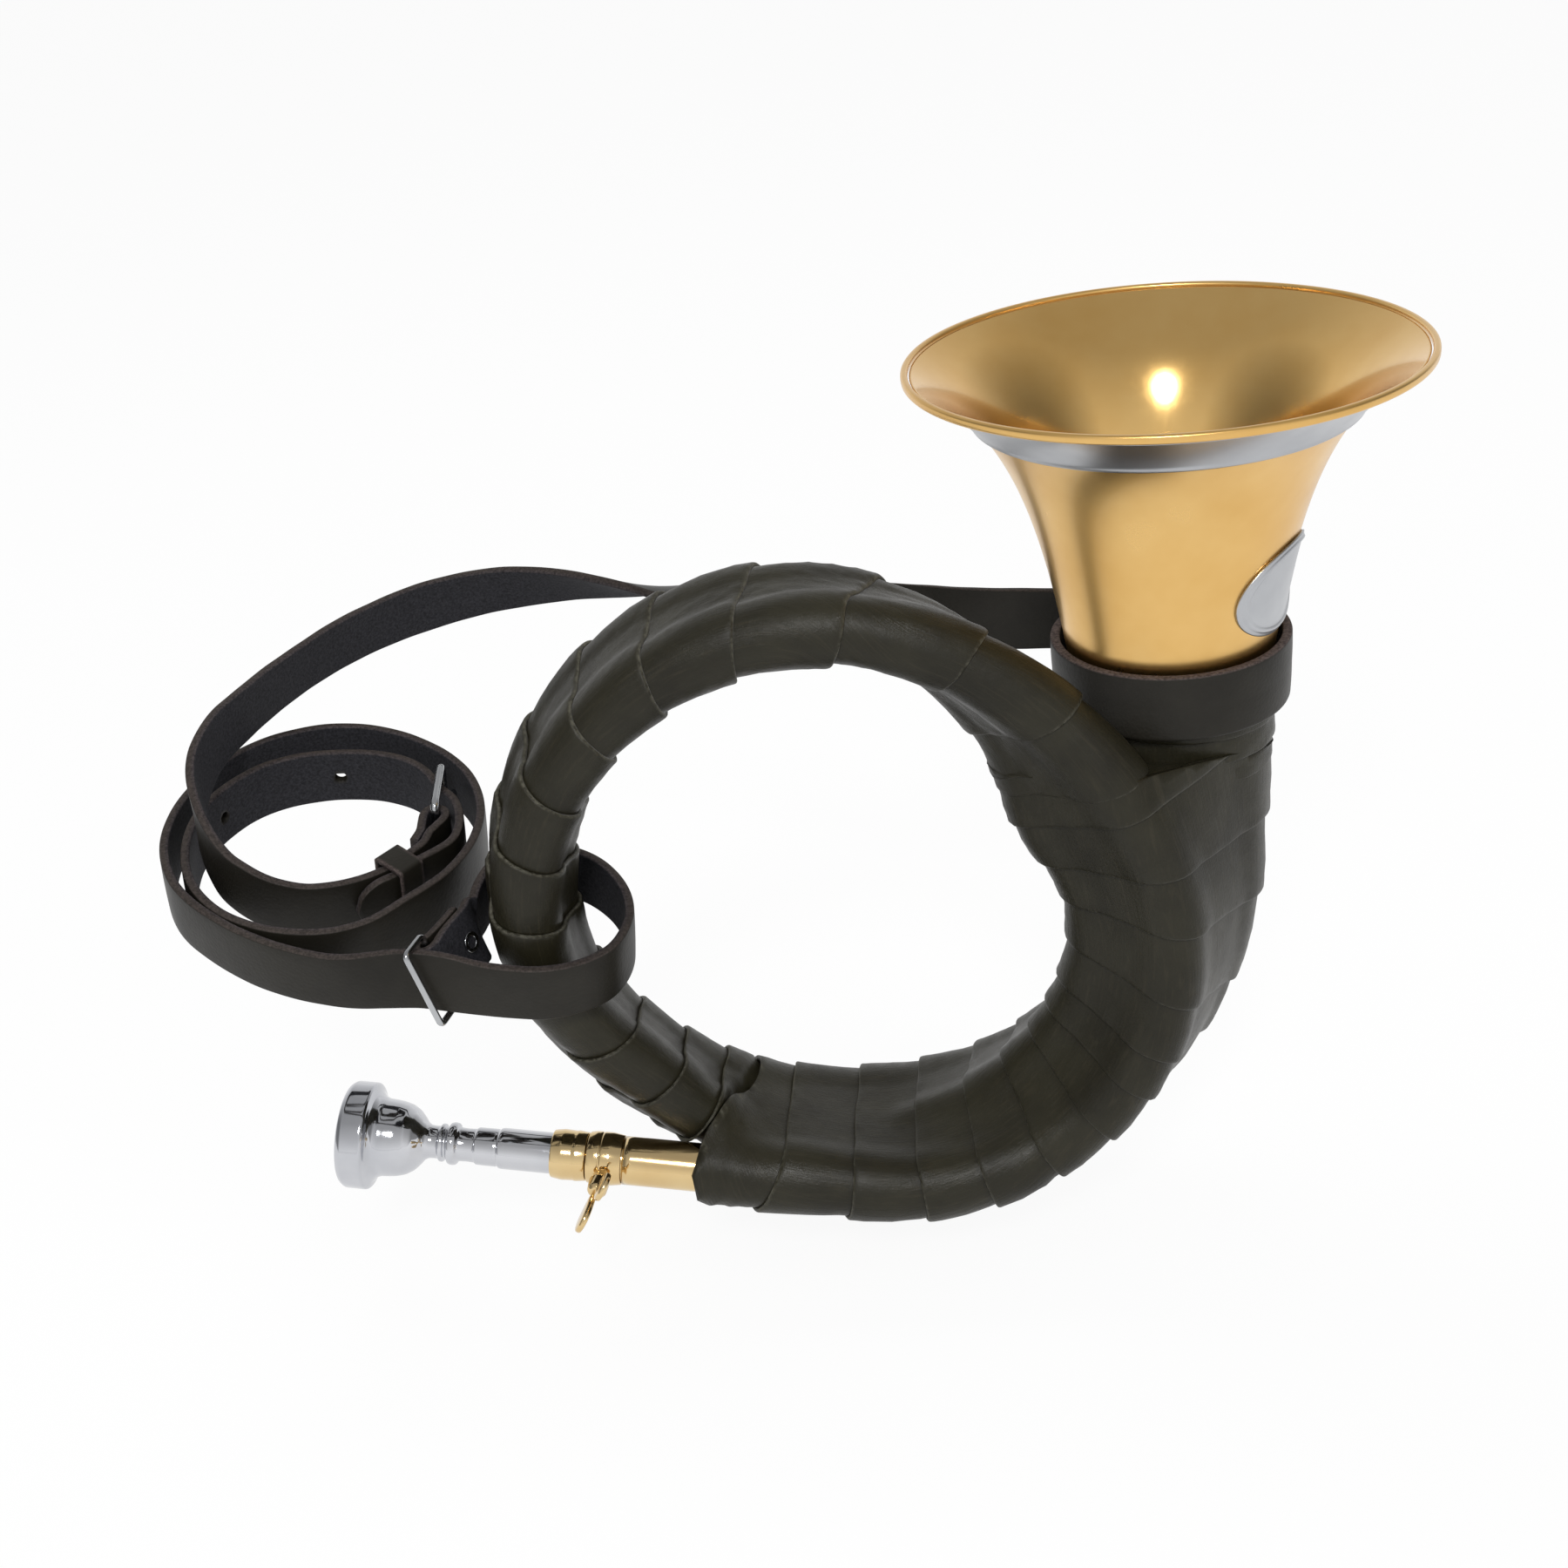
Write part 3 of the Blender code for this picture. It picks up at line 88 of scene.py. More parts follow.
def grid_piece(name, grid, wrap_rows=False, wrap_columns=True, u=None, v=None, marks=None):
    """A mesh object from a grid of points with shape (rows, columns, 3), ends capped, facing out.

    u and v are the picture coordinates of the rows and columns, one longer where they wrap.
    marks are named numbers for every point, which a material reads as attributes.
    """
    rows, columns = grid.shape[:2]
    quads, row, column = grid_quads(rows, columns, wrap_rows, wrap_columns)
    faces = quads.tolist()
    u, v = picture_line(u, rows), picture_line(v, columns)
    spots = np.stack([u[row], v[column]], axis=2).reshape(-1, 2)
    if wrap_columns and not wrap_rows:
        faces += [list(range(columns))[::-1], [(rows - 1) * columns + k for k in range(columns)]]
        ends = np.repeat([u[0], u[rows - 1]], columns)
        around = np.concatenate([v[:columns][::-1], v[:columns]])
        spots = np.concatenate([spots, np.stack([ends, around], axis=1)])
    mesh = bpy.data.meshes.new(name)
    mesh.from_pydata(grid.reshape(-1, 3).tolist(), [], faces)
    mesh.uv_layers.new(name="UVMap").data.foreach_set("uv", spots.astype(np.float32).ravel())
    for mark, values in (marks or {}).items():
        values = np.broadcast_to(values, (rows, columns)).astype(np.float32)
        mesh.attributes.new(mark, "FLOAT", "POINT").data.foreach_set("value", values.ravel())
    shell = bmesh.new()
    shell.from_mesh(mesh)
    bmesh.ops.remove_doubles(shell, verts=shell.verts, dist=WELD)
    bmesh.ops.recalc_face_normals(shell, faces=shell.faces)
    return shell_piece(name, shell, mesh)


def shell_piece(name, shell, mesh):
    """Writes a shell to its mesh, shades it smoothly and links an object for it."""
    shell.to_mesh(mesh)
    shell.free()
    mesh.shade_smooth()
    piece = bpy.data.objects.new(name, mesh)
    bpy.context.scene.collection.objects.link(piece)
    return piece


def joined(name, pieces):
    """One object from several shells, with their meshes laid together."""
    shell = bmesh.new()
    for piece in pieces:
        shell.from_mesh(piece.data)
        bpy.data.objects.remove(piece)
    return shell_piece(name, shell, bpy.data.meshes.new(name))


def place(piece, node, finish, body="horn", stands=True):
    """Gives a piece its finish, sets it riding on a body and prints the CAD node it belongs to.

    Where it stands for that node, the node itself no longer shows.
    """
    piece.data.materials.clear()
    piece.data.materials.append(finish.material)
    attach(piece, body)
    if stands:
        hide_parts(node)
    count = sum(len(face.vertices) - 2 for face in piece.data.polygons)
    print(f"{piece.name}: {count} triangles on {body}, slot {node}")
    return piece


# %% [markdown]
# ## Rounded profiles, turned pieces and tubes
#
# The mouthpiece, receiver, collar, garland and rim are all made on a lathe, so they are one
# profile turned about an axis. Real turned edges are never knife sharp: each corner of a
# profile is replaced with a short curve, which is what catches the light.
# %% Profiles and lathe
PICTURE_SCALE = 20.0  # picture units to a metre, along turned profiles and straps


def rounded(profile, size, steps=3, closed=True):
    """Replaces each corner of a profile with a small parabola from edge to edge.

    The curve starts size before the corner and ends size after it, or a third of the edge
    where that is shorter: point = (1-t)^2 start + 2t(1-t) corner + t^2 end.
    """
    corner = np.asarray(profile, float)
    back = np.roll(corner, 1, axis=0) - corner
    ahead = np.roll(corner, -1, axis=0) - corner
    back_length = np.linalg.norm(back, axis=1, keepdims=True)
    ahead_length = np.linalg.norm(ahead, axis=1, keepdims=True)
    start = corner + back / back_length * np.minimum(size, back_length / 3)
    end = corner + ahead / ahead_length * np.minimum(size, ahead_length / 3)
    t = np.linspace(0, 1, steps + 1)[None, :, None]
    curve = (1 - t) ** 2 * start[:, None] + 2 * t * (1 - t) * corner[:, None] + t**2 * end[:, None]
    if not closed:
        return np.concatenate([corner[:1], curve[1:-1].reshape(-1, 2), corner[-1:]])
    return curve.reshape(-1, 2)


def lathe(name, profile, matrix=None, sides=128, closed=True, marks=None):
    """Turns (radius, height) pairs about Z: x = r cos a, y = r sin a, z = height."""
    profile = np.asarray(profile, float)
    a = np.arange(sides) * math.tau / sides
    radius, height = profile[:, :1], profile[:, 1:]
    grid = np.stack([radius * np.cos(a), radius * np.sin(a), height + 0 * a], axis=2)
    grid = grid if matrix is None else carried(grid, matrix)
    u = np.concatenate([[0], np.cumsum(np.linalg.norm(np.diff(profile, axis=0), axis=1))])
    if closed:
        u = np.append(u, u[-1] + np.linalg.norm(profile[0] - profile[-1]))
    marks = {k: np.asarray(m)[:, None] for k, m in (marks or {}).items()}
    return grid_piece(name, grid, wrap_rows=closed, u=u * PICTURE_SCALE, marks=marks)


def carried(grid, matrix):
    """Points moved by a 4 by 4 matrix: p' = R p + t, for a whole array at once."""
    m = np.array(matrix)
    return grid @ m[:3, :3].T + m[:3, 3]


def frame_at(spot, *axes):
    """The matrix that carries a piece's own X, Y and Z to three directions at a spot."""
    return Matrix.Translation(Vector(spot)) @ Matrix(axes).transposed().to_4x4()


def unit(a):
    """Directions of length one."""
    return a / np.linalg.norm(a, axis=-1, keepdims=True)


def square(a, heading):
    """The part of a direction that is square to a heading, made length one."""
    return unit(a - heading * (a * heading).sum(-1, keepdims=True))


def tube_grid(centres, sides, radii, reference):
    """Rings square to a path: ring = centre + r (cos a * U + sin a * V).

    U is the reference direction with its part along the path taken away, and V is square to both.
    """
    heading = unit(np.gradient(centres, axis=0))
    first = square(reference, heading)
    second = np.cross(heading, first)
    a = np.arange(sides) * math.tau / sides
    cos, sin = np.cos(a)[None, :, None], np.sin(a)[None, :, None]
    radii = np.broadcast_to(np.asarray(radii, float), (len(centres),))[:, None, None]
    return centres[:, None] + radii * (cos * first[:, None] + sin * second[:, None])


def wall_grid(outer, inner):
    """Outer rings one way and inner rings back, as one grid that closes over both ends."""
    return np.concatenate([outer, inner[::-1]])


print("lathe test:", len(rounded([(1, 0), (1, 1), (2, 1), (2, 0)], 0.1)), "points")

# %% [markdown]
# ## The horn's own lines
#
# The tube makes two and a quarter turns. A place along it is a turn angle: -90 is the coil's
# lowest point, where the lead pipe comes in, 0 the right side, 90 the top, and 720 is where
# the bell begins. The stations below are the tube's distance from the coil's axis and its
# depth, and a cubic joins them. The same numbers are in the model's source.
# %% Stations of the tube
COIL = 0.073
SHIFT = np.array([-COIL, 0.0, 0.0])  # from the coil's axis to the part's origin
BELL_RIM = 0.0573
BELL_TOP = 0.1215
FLARE = 0.0143
LEAD_RADIUS = 0.0060
TUBE_NARROW = 0.0055
WIDENING = 0.150  # the widening falls to a third over this length of tube
LEAD_END_TURN = -60.0
BELL_TURN = 720.0
LEAD_BACK, LEAD_UP = 0.17, 0.134  # how the straight lead pipe leans, for each metre it runs left


def bell_radius(height):
    """The bell's outside: it falls with the root of the distance below the mouth."""
    return BELL_RIM * np.sqrt(FLARE / (FLARE + BELL_TOP - np.asarray(height, float)))


THROAT = float(bell_radius(0.0))


def tube_radius(turn):
    """The narrow radius plus a widening that decays with the distance back from the bell."""
    away = np.radians(BELL_TURN - np.asarray(turn, float)) * COIL
    wide = TUBE_NARROW + (THROAT - TUBE_NARROW) * np.exp(-away / WIDENING)
    return np.where(np.asarray(turn) <= LEAD_END_TURN, LEAD_RADIUS, wide)


def beside(spot, turn, other, lean, room):
    """The strand next to one, at the lean from straight back: both radii and the room away."""
    reach = float(tube_radius(turn) + tube_radius(other)) + room
    lean = math.radians(lean)
    return spot[0] + reach * math.sin(lean), spot[1] + reach * math.cos(lean)


spots = {}
for turn, out, depth, lean, room in (
    (45, -0.003, -0.0150, -35, 0.0050), (90, 0.0003, -0.0080, -2, 0.0038),
    (180, 0.000, -0.0060, 0, 0.0026), (225, -0.0065, -0.0005, 20, 0.0022),
):
    spots[turn] = (COIL + out, depth)
    spots[turn + 360] = beside(spots[turn], turn, turn + 360, lean, room)
for turn, out, depth, lean_1, room_1, lean_2, room_2 in (
    (-90, 0.001, 0.0015, -173, 0.0067, 17, 0.0026), (-45, -0.005, -0.0030, 144, 0.0074, 46, 0.0048),
    (0, -0.0125, -0.0070, 130, 0.0072, 53, 0.0026),
):
    spots[turn + 360] = (COIL + out, depth)
    spots[turn] = beside(spots[turn + 360], turn + 360, turn, lean_1, room_1)
    spots[turn + 720] = beside(spots[turn + 360], turn + 360, turn + 720, lean_2, room_2)
spots[22] = (COIL - 0.0016, spots[0][1] - 0.0014)
spots[382] = (COIL - 0.0186, -0.0051)
spots[250] = (COIL + 0.0010, 0.0015)
TURNS = np.array(sorted(spots), float)
PLACES = np.array([spots[t] for t in sorted(spots)])
BELL_X, BELL_Y = PLACES[-1]
BELL_AXIS = (BELL_X - COIL, BELL_Y, 0.0)
LEAD_FOOT = np.array([0.0, PLACES[0][1], -PLACES[0][0]])
LEAD_OUT = unit(np.array([-1.0, LEAD_BACK, LEAD_UP]))
ENTRY_SLOPE = np.array([LEAD_UP, -LEAD_BACK]) * math.radians(1.0) * PLACES[0][0]
print("bell axis at", BELL_AXIS)


# %% Curves through stations
def smooth(knots, values, at, start_slope=None):
    """Cubic Hermite through the values: slopes come from the neighbours of each knot."""
    knots, values, at = (np.asarray(a, float) for a in (knots, values, at))
    slopes = np.gradient(values, knots, axis=0)
    if start_slope is not None:
        slopes[0] = start_slope
    i = np.clip(np.searchsorted(knots, at) - 1, 0, len(knots) - 2)
    span = (knots[i + 1] - knots[i])[:, None]
    t = (at - knots[i])[:, None] / span
    return ((2 * t**3 - 3 * t**2 + 1) * values[i] + (t**3 - 2 * t**2 + t) * span * slopes[i]
            + (3 * t**2 - 2 * t**3) * values[i + 1] + (t**3 - t**2) * span * slopes[i + 1])


def strand(turn):
    """Distance from the coil's axis, depth and radius of the tube, for an array of turn angles.

    Before the first station it is the straight lead pipe, and past the last the upright bell.
    """
    turn = np.asarray(turn, float)
    reach, depth = smooth(TURNS, PLACES, np.clip(turn, TURNS[0], TURNS[-1]), ENTRY_SLOPE).T
    a = np.radians(turn)
    lead = turn < TURNS[0]
    run = LEAD_FOOT[2] * np.cos(a) / (LEAD_OUT[0] * np.sin(a) - LEAD_OUT[2] * np.cos(a))
    reach = np.where(lead, np.hypot(LEAD_OUT[0] * run, LEAD_FOOT[2] + LEAD_OUT[2] * run), reach)
    depth = np.where(lead, LEAD_FOOT[1] + LEAD_OUT[1] * run, depth)
    up = turn > BELL_TURN
    past = np.radians(np.clip(turn - BELL_TURN, 0, 60))
    reach = np.where(up, BELL_X / np.cos(past), reach)
    bell_skin = bell_radius(np.minimum(BELL_X * np.tan(past), BELL_TOP))
    return reach, depth, np.where(up, bell_skin, tube_radius(turn))


def strand_points(turn):
    """The tube's middle line in space: x = reach cos a, y = depth, z = reach sin a."""
    reach, depth, _ = strand(turn)
    a = np.radians(turn)
    return np.stack([reach * np.cos(a), depth, reach * np.sin(a)], axis=-1)


steps = np.diff(strand_points(np.arange(-90, BELL_TURN)), axis=0)
print("tube length", round(float(np.linalg.norm(steps, axis=1).sum()), 3))

# %% [markdown]
# ## Finishes
#
# Every finish is made of nodes. Noise and cells read Object coordinates in metres, so a scale of
# 900 gives a grain about a millimetre across; what follows a strip or a strap reads the piece's
# own picture coordinates or marks. Colours are written as the eye sees them and turned linear.
# %% Node helpers
def seen(red, green, blue):
    """A colour seen as 0 to 255, made linear: (c/255)^2.2 is close enough for a base colour."""
    return (*[(c / 255) ** 2.2 for c in (red, green, blue)], 1.0)


def add_node(tree, kind, inputs=None, **settings):
    """A node with its settings. An input that is given a socket is linked, any other is set."""
    node = tree.nodes.new(kind)
    for key, value in settings.items():
        setattr(node, key, value)
    for key, value in (inputs or {}).items():
        if isinstance(value, bpy.types.NodeSocket):
            tree.links.new(value, node.inputs[key])
        else:
            node.inputs[key].default_value = value
    return node


def map_range(low, high, to_low, to_high, value):
    """Inputs of a Map Range node: low to high becomes to_low to to_high."""
    return {"Value": value, "From Min": low, "From Max": high, "To Min": to_low, "To Max": to_high}


class Finish:
    """A material with a Principled shader and short ways to add the nodes that feed it."""

    def __init__(self, name, **plain):
        self.material = bpy.data.materials.new(name)
        self.material.use_nodes = True
        self.tree = self.material.node_tree
        self.shader = self.tree.nodes["Principled BSDF"]
        for key, value in plain.items():
            self.shader.inputs[key.replace("_", " ")].default_value = value
        self.object = self.add("ShaderNodeTexCoord").outputs["Object"]
        self.picture = self.add("ShaderNodeUVMap", uv_map="UVMap").outputs[0]

    def add(self, kind, inputs=None, **settings):
        """A node in this material; the other methods return its output."""
        return add_node(self.tree, kind, inputs, **settings)

    def stretched(self, scale, source=None):
        """Coordinates times a scale for each axis."""
        inputs = {"Vector": source or self.object, "Scale": scale}
        return self.add("ShaderNodeMapping", inputs).outputs[0]

    def noise(self, scale, detail=3.0, rough=0.55, where=None, distortion=0.0):
        """Cloudy noise, scale cycles to a coordinate unit."""
        return self.add("ShaderNodeTexNoise", {
            "Vector": where or self.object, "Scale": scale, "Detail": detail,
            "Roughness": rough, "Distortion": distortion,
        }).outputs[0]

    def cells(self, scale):
        """Distance from the middle of the nearest cell, which makes pebbles."""
        inputs = {"Vector": self.object, "Scale": scale}
        return self.add("ShaderNodeTexVoronoi", inputs).outputs["Distance"]

    def span(self, value, low, high, to_low=0.0, to_high=1.0):
        """to_low + (to_high - to_low) (value - low) / (high - low), held within its ends."""
        inputs = map_range(low, high, to_low, to_high, value)
        return self.add("ShaderNodeMapRange", inputs).outputs[0]

    def sum(self, a, b, kind="ADD"):
        """a + b, or another operation on the two."""
        return self.add("ShaderNodeMath", {0: a, 1: b}, operation=kind).outputs[0]

    def mark(self, name):
        """The named number that grid_piece stored on the points."""
        return self.add("ShaderNodeAttribute", attribute_name=name).outputs["Fac"]

    def blend(self, amount, first, second):
        """A colour: (1 - amount) first + amount second."""
        inputs = {"Factor": amount, 6: first, 7: second}
        return self.add("ShaderNodeMix", inputs, data_type="RGBA").outputs[2]

    def feed(self, socket, value):
        """Links a value to an input of the shader."""
        self.tree.links.new(value, self.shader.inputs[socket])

    def relief(self, height, distance, strength=1.0, below=None):
        """Bumps of distance metres for a height of one, laid over the relief below."""
        inputs = {"Height": height, "Distance": distance, "Strength": strength}
        if below is not None:
            inputs["Normal"] = below
        normal = self.add("ShaderNodeBump", inputs).outputs[0]
        self.feed("Normal", normal)
        return normal


# %% [markdown]
# Brass on such a horn is polished and then clear lacquered: a warm metal under a thin hard coat,
# with faint marks of the polishing wheel round the bell and a little unevenness from handling.
# Colour and roughness vary slowly, and the spinning lines are very fine and shallow. The bell is
# satin outside and brighter inside, which a mark on its points tells apart.
# %% Metals
TURNING_LINES = (25.0, 25.0, 1300.0)  # noise stretched round the Z axis


def metal(name, bright, deep, rough, lines=0.0, coat=0.0, speckle=0.4, inside=None):
    """A polished metal: two near colours mixed by slow noise, fine turning lines as relief."""
    finish = Finish(name, Metallic=1.0, Coat_Weight=coat, Coat_Roughness=0.05)
    cloud = finish.noise(28.0, 4.0, 0.6)
    fine = finish.noise(520.0, 3.0, 0.6)
    colour = finish.blend(finish.span(cloud, 0.38, 0.66), seen(*bright), seen(*deep))
    finish.feed("Base Color", colour)
    smudges = finish.span(fine, 0.5, 0.75, 0.0, 0.06 * speckle)
    wear = finish.sum(finish.span(cloud, 0.35, 0.7, 0.0, 0.05), smudges)
    if inside is not None:
        rough = finish.span(finish.mark("inside"), 0.0, 1.0, rough, inside)
    finish.feed("Roughness", finish.sum(wear, rough))
    rows = finish.noise(1.0, 2.0, 0.5, where=finish.stretched(TURNING_LINES))
    finish.relief(rows, 0.00001, 0.15 + lines)
    print("metal:", name)
    return finish


BELL_BRASS = metal("lacquered_gold_brass", (232, 190, 120), (223, 177, 104), 0.27, 0.1, 0.2,
                   inside=0.12)
PALE_BRASS = metal("lacquered_yellow_brass", (226, 200, 150), (214, 182, 128), 0.11, 0.15, 0.3)
NICKEL = metal("polished_nickel_silver", (186, 188, 190), (168, 170, 173), 0.17, 0.25)
BAND = metal("satin_nickel_silver", (190, 192, 195), (174, 176, 180), 0.30, 0.25)
SILVER = metal("silver_plate", (206, 207, 211), (184, 186, 192), 0.07, 0.1)

# %% [markdown]
# The horn is wound with thin olive-brown calf leather. It is pulled tight, so its grain shows as
# tiny pebbles, with longer creases across the strip where it bends round the tubes, satin and a
# little shinier on the high spots. Each strip's cut edge is raw and paler, a line under a
# millimetre wide. The strap is thicker harness leather: smooth and dark outside, blue-grey suede
# inside, with a pinkish raw edge.
# %% Leathers
def winding_leather():
    """Calf leather: clouded olive, streaks along the strip, pebbles, creases and a raw edge."""
    finish = Finish("winding_leather", Coat_Weight=0.03, Coat_Roughness=0.3,
                    Specular_IOR_Level=0.24)
    along = finish.stretched((90.0, 14.0, 1.0), finish.picture)
    creased = finish.stretched((260.0, 9.0, 1.0), finish.picture)
    cloud = finish.noise(45.0, 4.0, 0.6)
    streaks = finish.noise(1.0, 4.0, 0.6, where=along, distortion=0.4)
    base = finish.blend(finish.span(cloud, 0.35, 0.7), seen(43, 41, 31), seen(31, 29, 21))
    base = finish.blend(finish.span(streaks, 0.52, 0.72, 0.0, 0.45), base, seen(54, 50, 39))
    torn = finish.span(finish.noise(900.0, 2.0, 0.6), 0.4, 0.62, 0.15, 1.0)
    edge = finish.sum(finish.mark("raw"), torn, "MULTIPLY")
    finish.feed("Base Color", finish.blend(edge, base, seen(86, 84, 74)))
    pebble = finish.cells(1500.0)
    crease = finish.noise(1.0, 5.0, 0.62, where=creased, distortion=0.8)
    pits = finish.span(pebble, 0.0, 0.6, 0.05, 0.0)
    rough = finish.sum(finish.span(cloud, 0.3, 0.7, 0.33, 0.43), pits)
    finish.feed("Roughness", finish.sum(rough, finish.span(edge, 0.0, 1.0, 0.0, 0.35)))
    grain = finish.relief(pebble, 0.00005, 0.55)
    folds = finish.relief(crease, 0.00025, 0.4, below=grain)
    finish.relief(cloud, 0.0012, 0.35, below=folds)
    return finish


def harness_leather():
    """Strap leather: smooth outside, fuzzy suede inside and a pinkish cut edge, told by marks."""
    finish = Finish("harness_leather", Coat_Weight=0.02, Coat_Roughness=0.4,
                    Specular_IOR_Level=0.22)
    suede, raw = finish.mark("suede"), finish.mark("raw")
    cloud = finish.noise(38.0, 4.0, 0.6)
    nap = finish.noise(1400.0, 3.0, 0.7)
    fuzz = finish.span(nap, 0.35, 0.65)
    smooth_side = finish.blend(finish.span(cloud, 0.35, 0.7), seen(38, 36, 31), seen(28, 26, 22))
    fuzzy_side = finish.blend(fuzz, seen(34, 34, 37), seen(52, 52, 56))
    cut_edge = finish.blend(fuzz, seen(52, 46, 45), seen(92, 82, 79))
    face = finish.blend(suede, smooth_side, fuzzy_side)
    finish.feed("Base Color", finish.blend(raw, face, cut_edge))
    dull = finish.span(finish.sum(suede, raw), 0.0, 1.0, 0.0, 0.42)
    finish.feed("Roughness", finish.sum(finish.span(cloud, 0.3, 0.7, 0.40, 0.50), dull))
    grain = finish.relief(finish.cells(1100.0), 0.00006, 0.5)
    fluff = finish.sum(nap, finish.span(suede, 0.0, 1.0, 0.2, 1.0), "MULTIPLY")
    finish.relief(fluff, 0.00016, 0.6, below=grain)
    return finish


WRAP = winding_leather()
HARNESS = harness_leather()
print("leathers:", WRAP.material.name, HARNESS.material.name)

# %% [markdown]
# ## The bell and its bow
#
# One spun and bent sheet: it leaves the leather as a bow, turns upright and flares like a
# trumpet's bell. The wall is half a millimetre, so it is made as an outer skin one way and an
# inner skin back, closed at both ends. The radius falls with the root of the distance below
# the mouth, which is close to how real bells are drawn.
# %% Bell
BELL_WALL = 0.0005
BOW_START = 655.2
DEPTHWISE = np.array([0.0, 1.0, 0.0])

turns = np.linspace(BOW_START, BELL_TURN, 40)[:-1]
rise = (BELL_TOP - 0.001) * (1 - (1 - np.linspace(0, 1, 90)) ** 1.9)
upright = np.stack([0 * rise + BELL_X, 0 * rise + BELL_Y, rise], axis=1)
line = np.concatenate([strand_points(turns), upright])
skin = np.concatenate([strand(turns)[2], bell_radius(rise)])
outer, inner = (tube_grid(line, 160, skin - wall, DEPTHWISE) for wall in (0.0, BELL_WALL))
run = np.linspace(0, 1, len(line))
bell = grid_piece("bell_body", wall_grid(outer, inner) + SHIFT, wrap_rows=True,
                  u=np.concatenate([run, 2 - run[::-1], [2.01]]),
                  marks={"inside": np.repeat([0.0, 1.0], len(line))[:, None]})
place(bell, "bell", BELL_BRASS)

# %% [markdown]
# The mouth is stiffened with a rolled bead, and under it lies the garland, a nickel-silver band
# that follows the flare. The band's lower edge is turned over into a fine line.
# %% Rim bead and garland
BEAD = 0.0020  # the bead's height
GARLAND_TOP, GARLAND_FOOT = 0.0030, 0.0125  # below the mouth

bell_place = Matrix.Translation(BELL_AXIS)
bead = [(-0.0012, 0.0), (-0.0004, 0.0), (0.0, -0.0004), (0.0, 0.0004 - BEAD), (-0.0004, -BEAD),
        (-0.0012, -BEAD), (-0.0016, 0.0004 - BEAD), (-0.0016, -0.0004)]
bead = rounded(np.array(bead) + [BELL_RIM, BELL_TOP], 0.0005)
place(lathe("rim_roll", bead, bell_place, sides=200), "rim_bead", BELL_BRASS)

levels = BELL_TOP - np.linspace(GARLAND_TOP, GARLAND_FOOT, 24)
band = bell_radius(levels)
slope = np.gradient(band, levels)
lean = 1 / np.hypot(1.0, slope)
lift = 0.00055 + 0.00022 * np.exp(-((levels - levels[-2]) / 0.00035) ** 2)
outside, inside = (np.stack([band + lean * off, levels - slope * lean * off], axis=1)
                   for off in (lift, 0.00015))
garland = lathe("garland_band", wall_grid(outside, inside), bell_place, sides=200)
place(garland, "garland", BAND)

# %% [markdown]
# The badge is a stamped oval plate soldered to the bell, bare but for its raised border. It could
# be a disc bent with a modifier; as rings of an ellipse laid on the bell's own radius it fits the
# flare exactly: height = plate + a bump where the ring's share is near nine tenths.
# %% Badge
BADGE_HALF_WIDE, BADGE_HALF_TALL = 0.0168, 0.0112
BADGE_LEVEL = 0.0705
BADGE_FACING = math.radians(-34.0)


def badge_grid(columns=96):
    """Rings of an ellipse bent round the bell: the ring's share s sets the height of the relief."""
    share = [0.0, 0.2, 0.4, 0.6, 0.72, 0.80, 0.83, 0.86, 0.89, 0.92, 0.95, 0.985, 1.0, 1.0]
    height_mm = [0.80, 0.80, 0.80, 0.79, 0.77, 0.76, 0.92, 1.24, 1.26, 1.00, 0.80, 0.76, 0.60, 0.10]
    share, height_mm = np.array(share)[:, None], np.array(height_mm)[:, None]
    a = np.arange(columns) * math.tau / columns
    level = BADGE_LEVEL + share * BADGE_HALF_TALL * np.sin(a)
    radius = bell_radius(level)
    facing = BADGE_FACING + share * BADGE_HALF_WIDE * np.cos(a) / radius
    radius = radius + height_mm / 1000
    around = np.stack([radius * np.cos(facing), radius * np.sin(facing), level], axis=2)
    return around + BELL_AXIS


place(grid_piece("badge_plate", badge_grid()), "badge", BAND)

# %% [markdown]
# ## The leather winding
#
# Long strips of leather run round the tubes, each lap lying over the edge of the one before.
# Round the grip they hold three tubes, round the rest of the coil two. A section of the strip's
# path is the tight outline of the tubes there, as a string pulled round them would lie, so it
# is curved round each tube and nearly straight between them. One table holds that outline for
# every half degree of turn, and each strip is read out of the table along its helix.
# %% Outline table
SIDES = 96  # columns of an outline
FACINGS = 240  # directions in which the furthest tube is looked for
OUTERMOST = 180  # the one of them that points away from the coil's axis
TABLE_STEP = 0.5
WINDOW = 61  # rows of the table over which an outline's starting point is smoothed
DIP = 0.0007  # how deep leather sinks where it spans from one tube to the next


class Table:
    """Outlines at evenly spaced turns or heights: points and outward directions by column."""

    def __init__(self, start, points, ways):
        self.start, self.points, self.ways = start, points, ways

    def read(self, turn, side):
        """Point and direction between the table's rows: a straight mix of the two nearest."""
        at = np.clip((turn - self.start) / TABLE_STEP, 0, len(self.points) - 1.001)
        i = at.astype(int)
        part = (at - i)[..., None]
        return [a[i, side] * (1 - part) + a[i + 1, side] * part for a in (self.points, self.ways)]


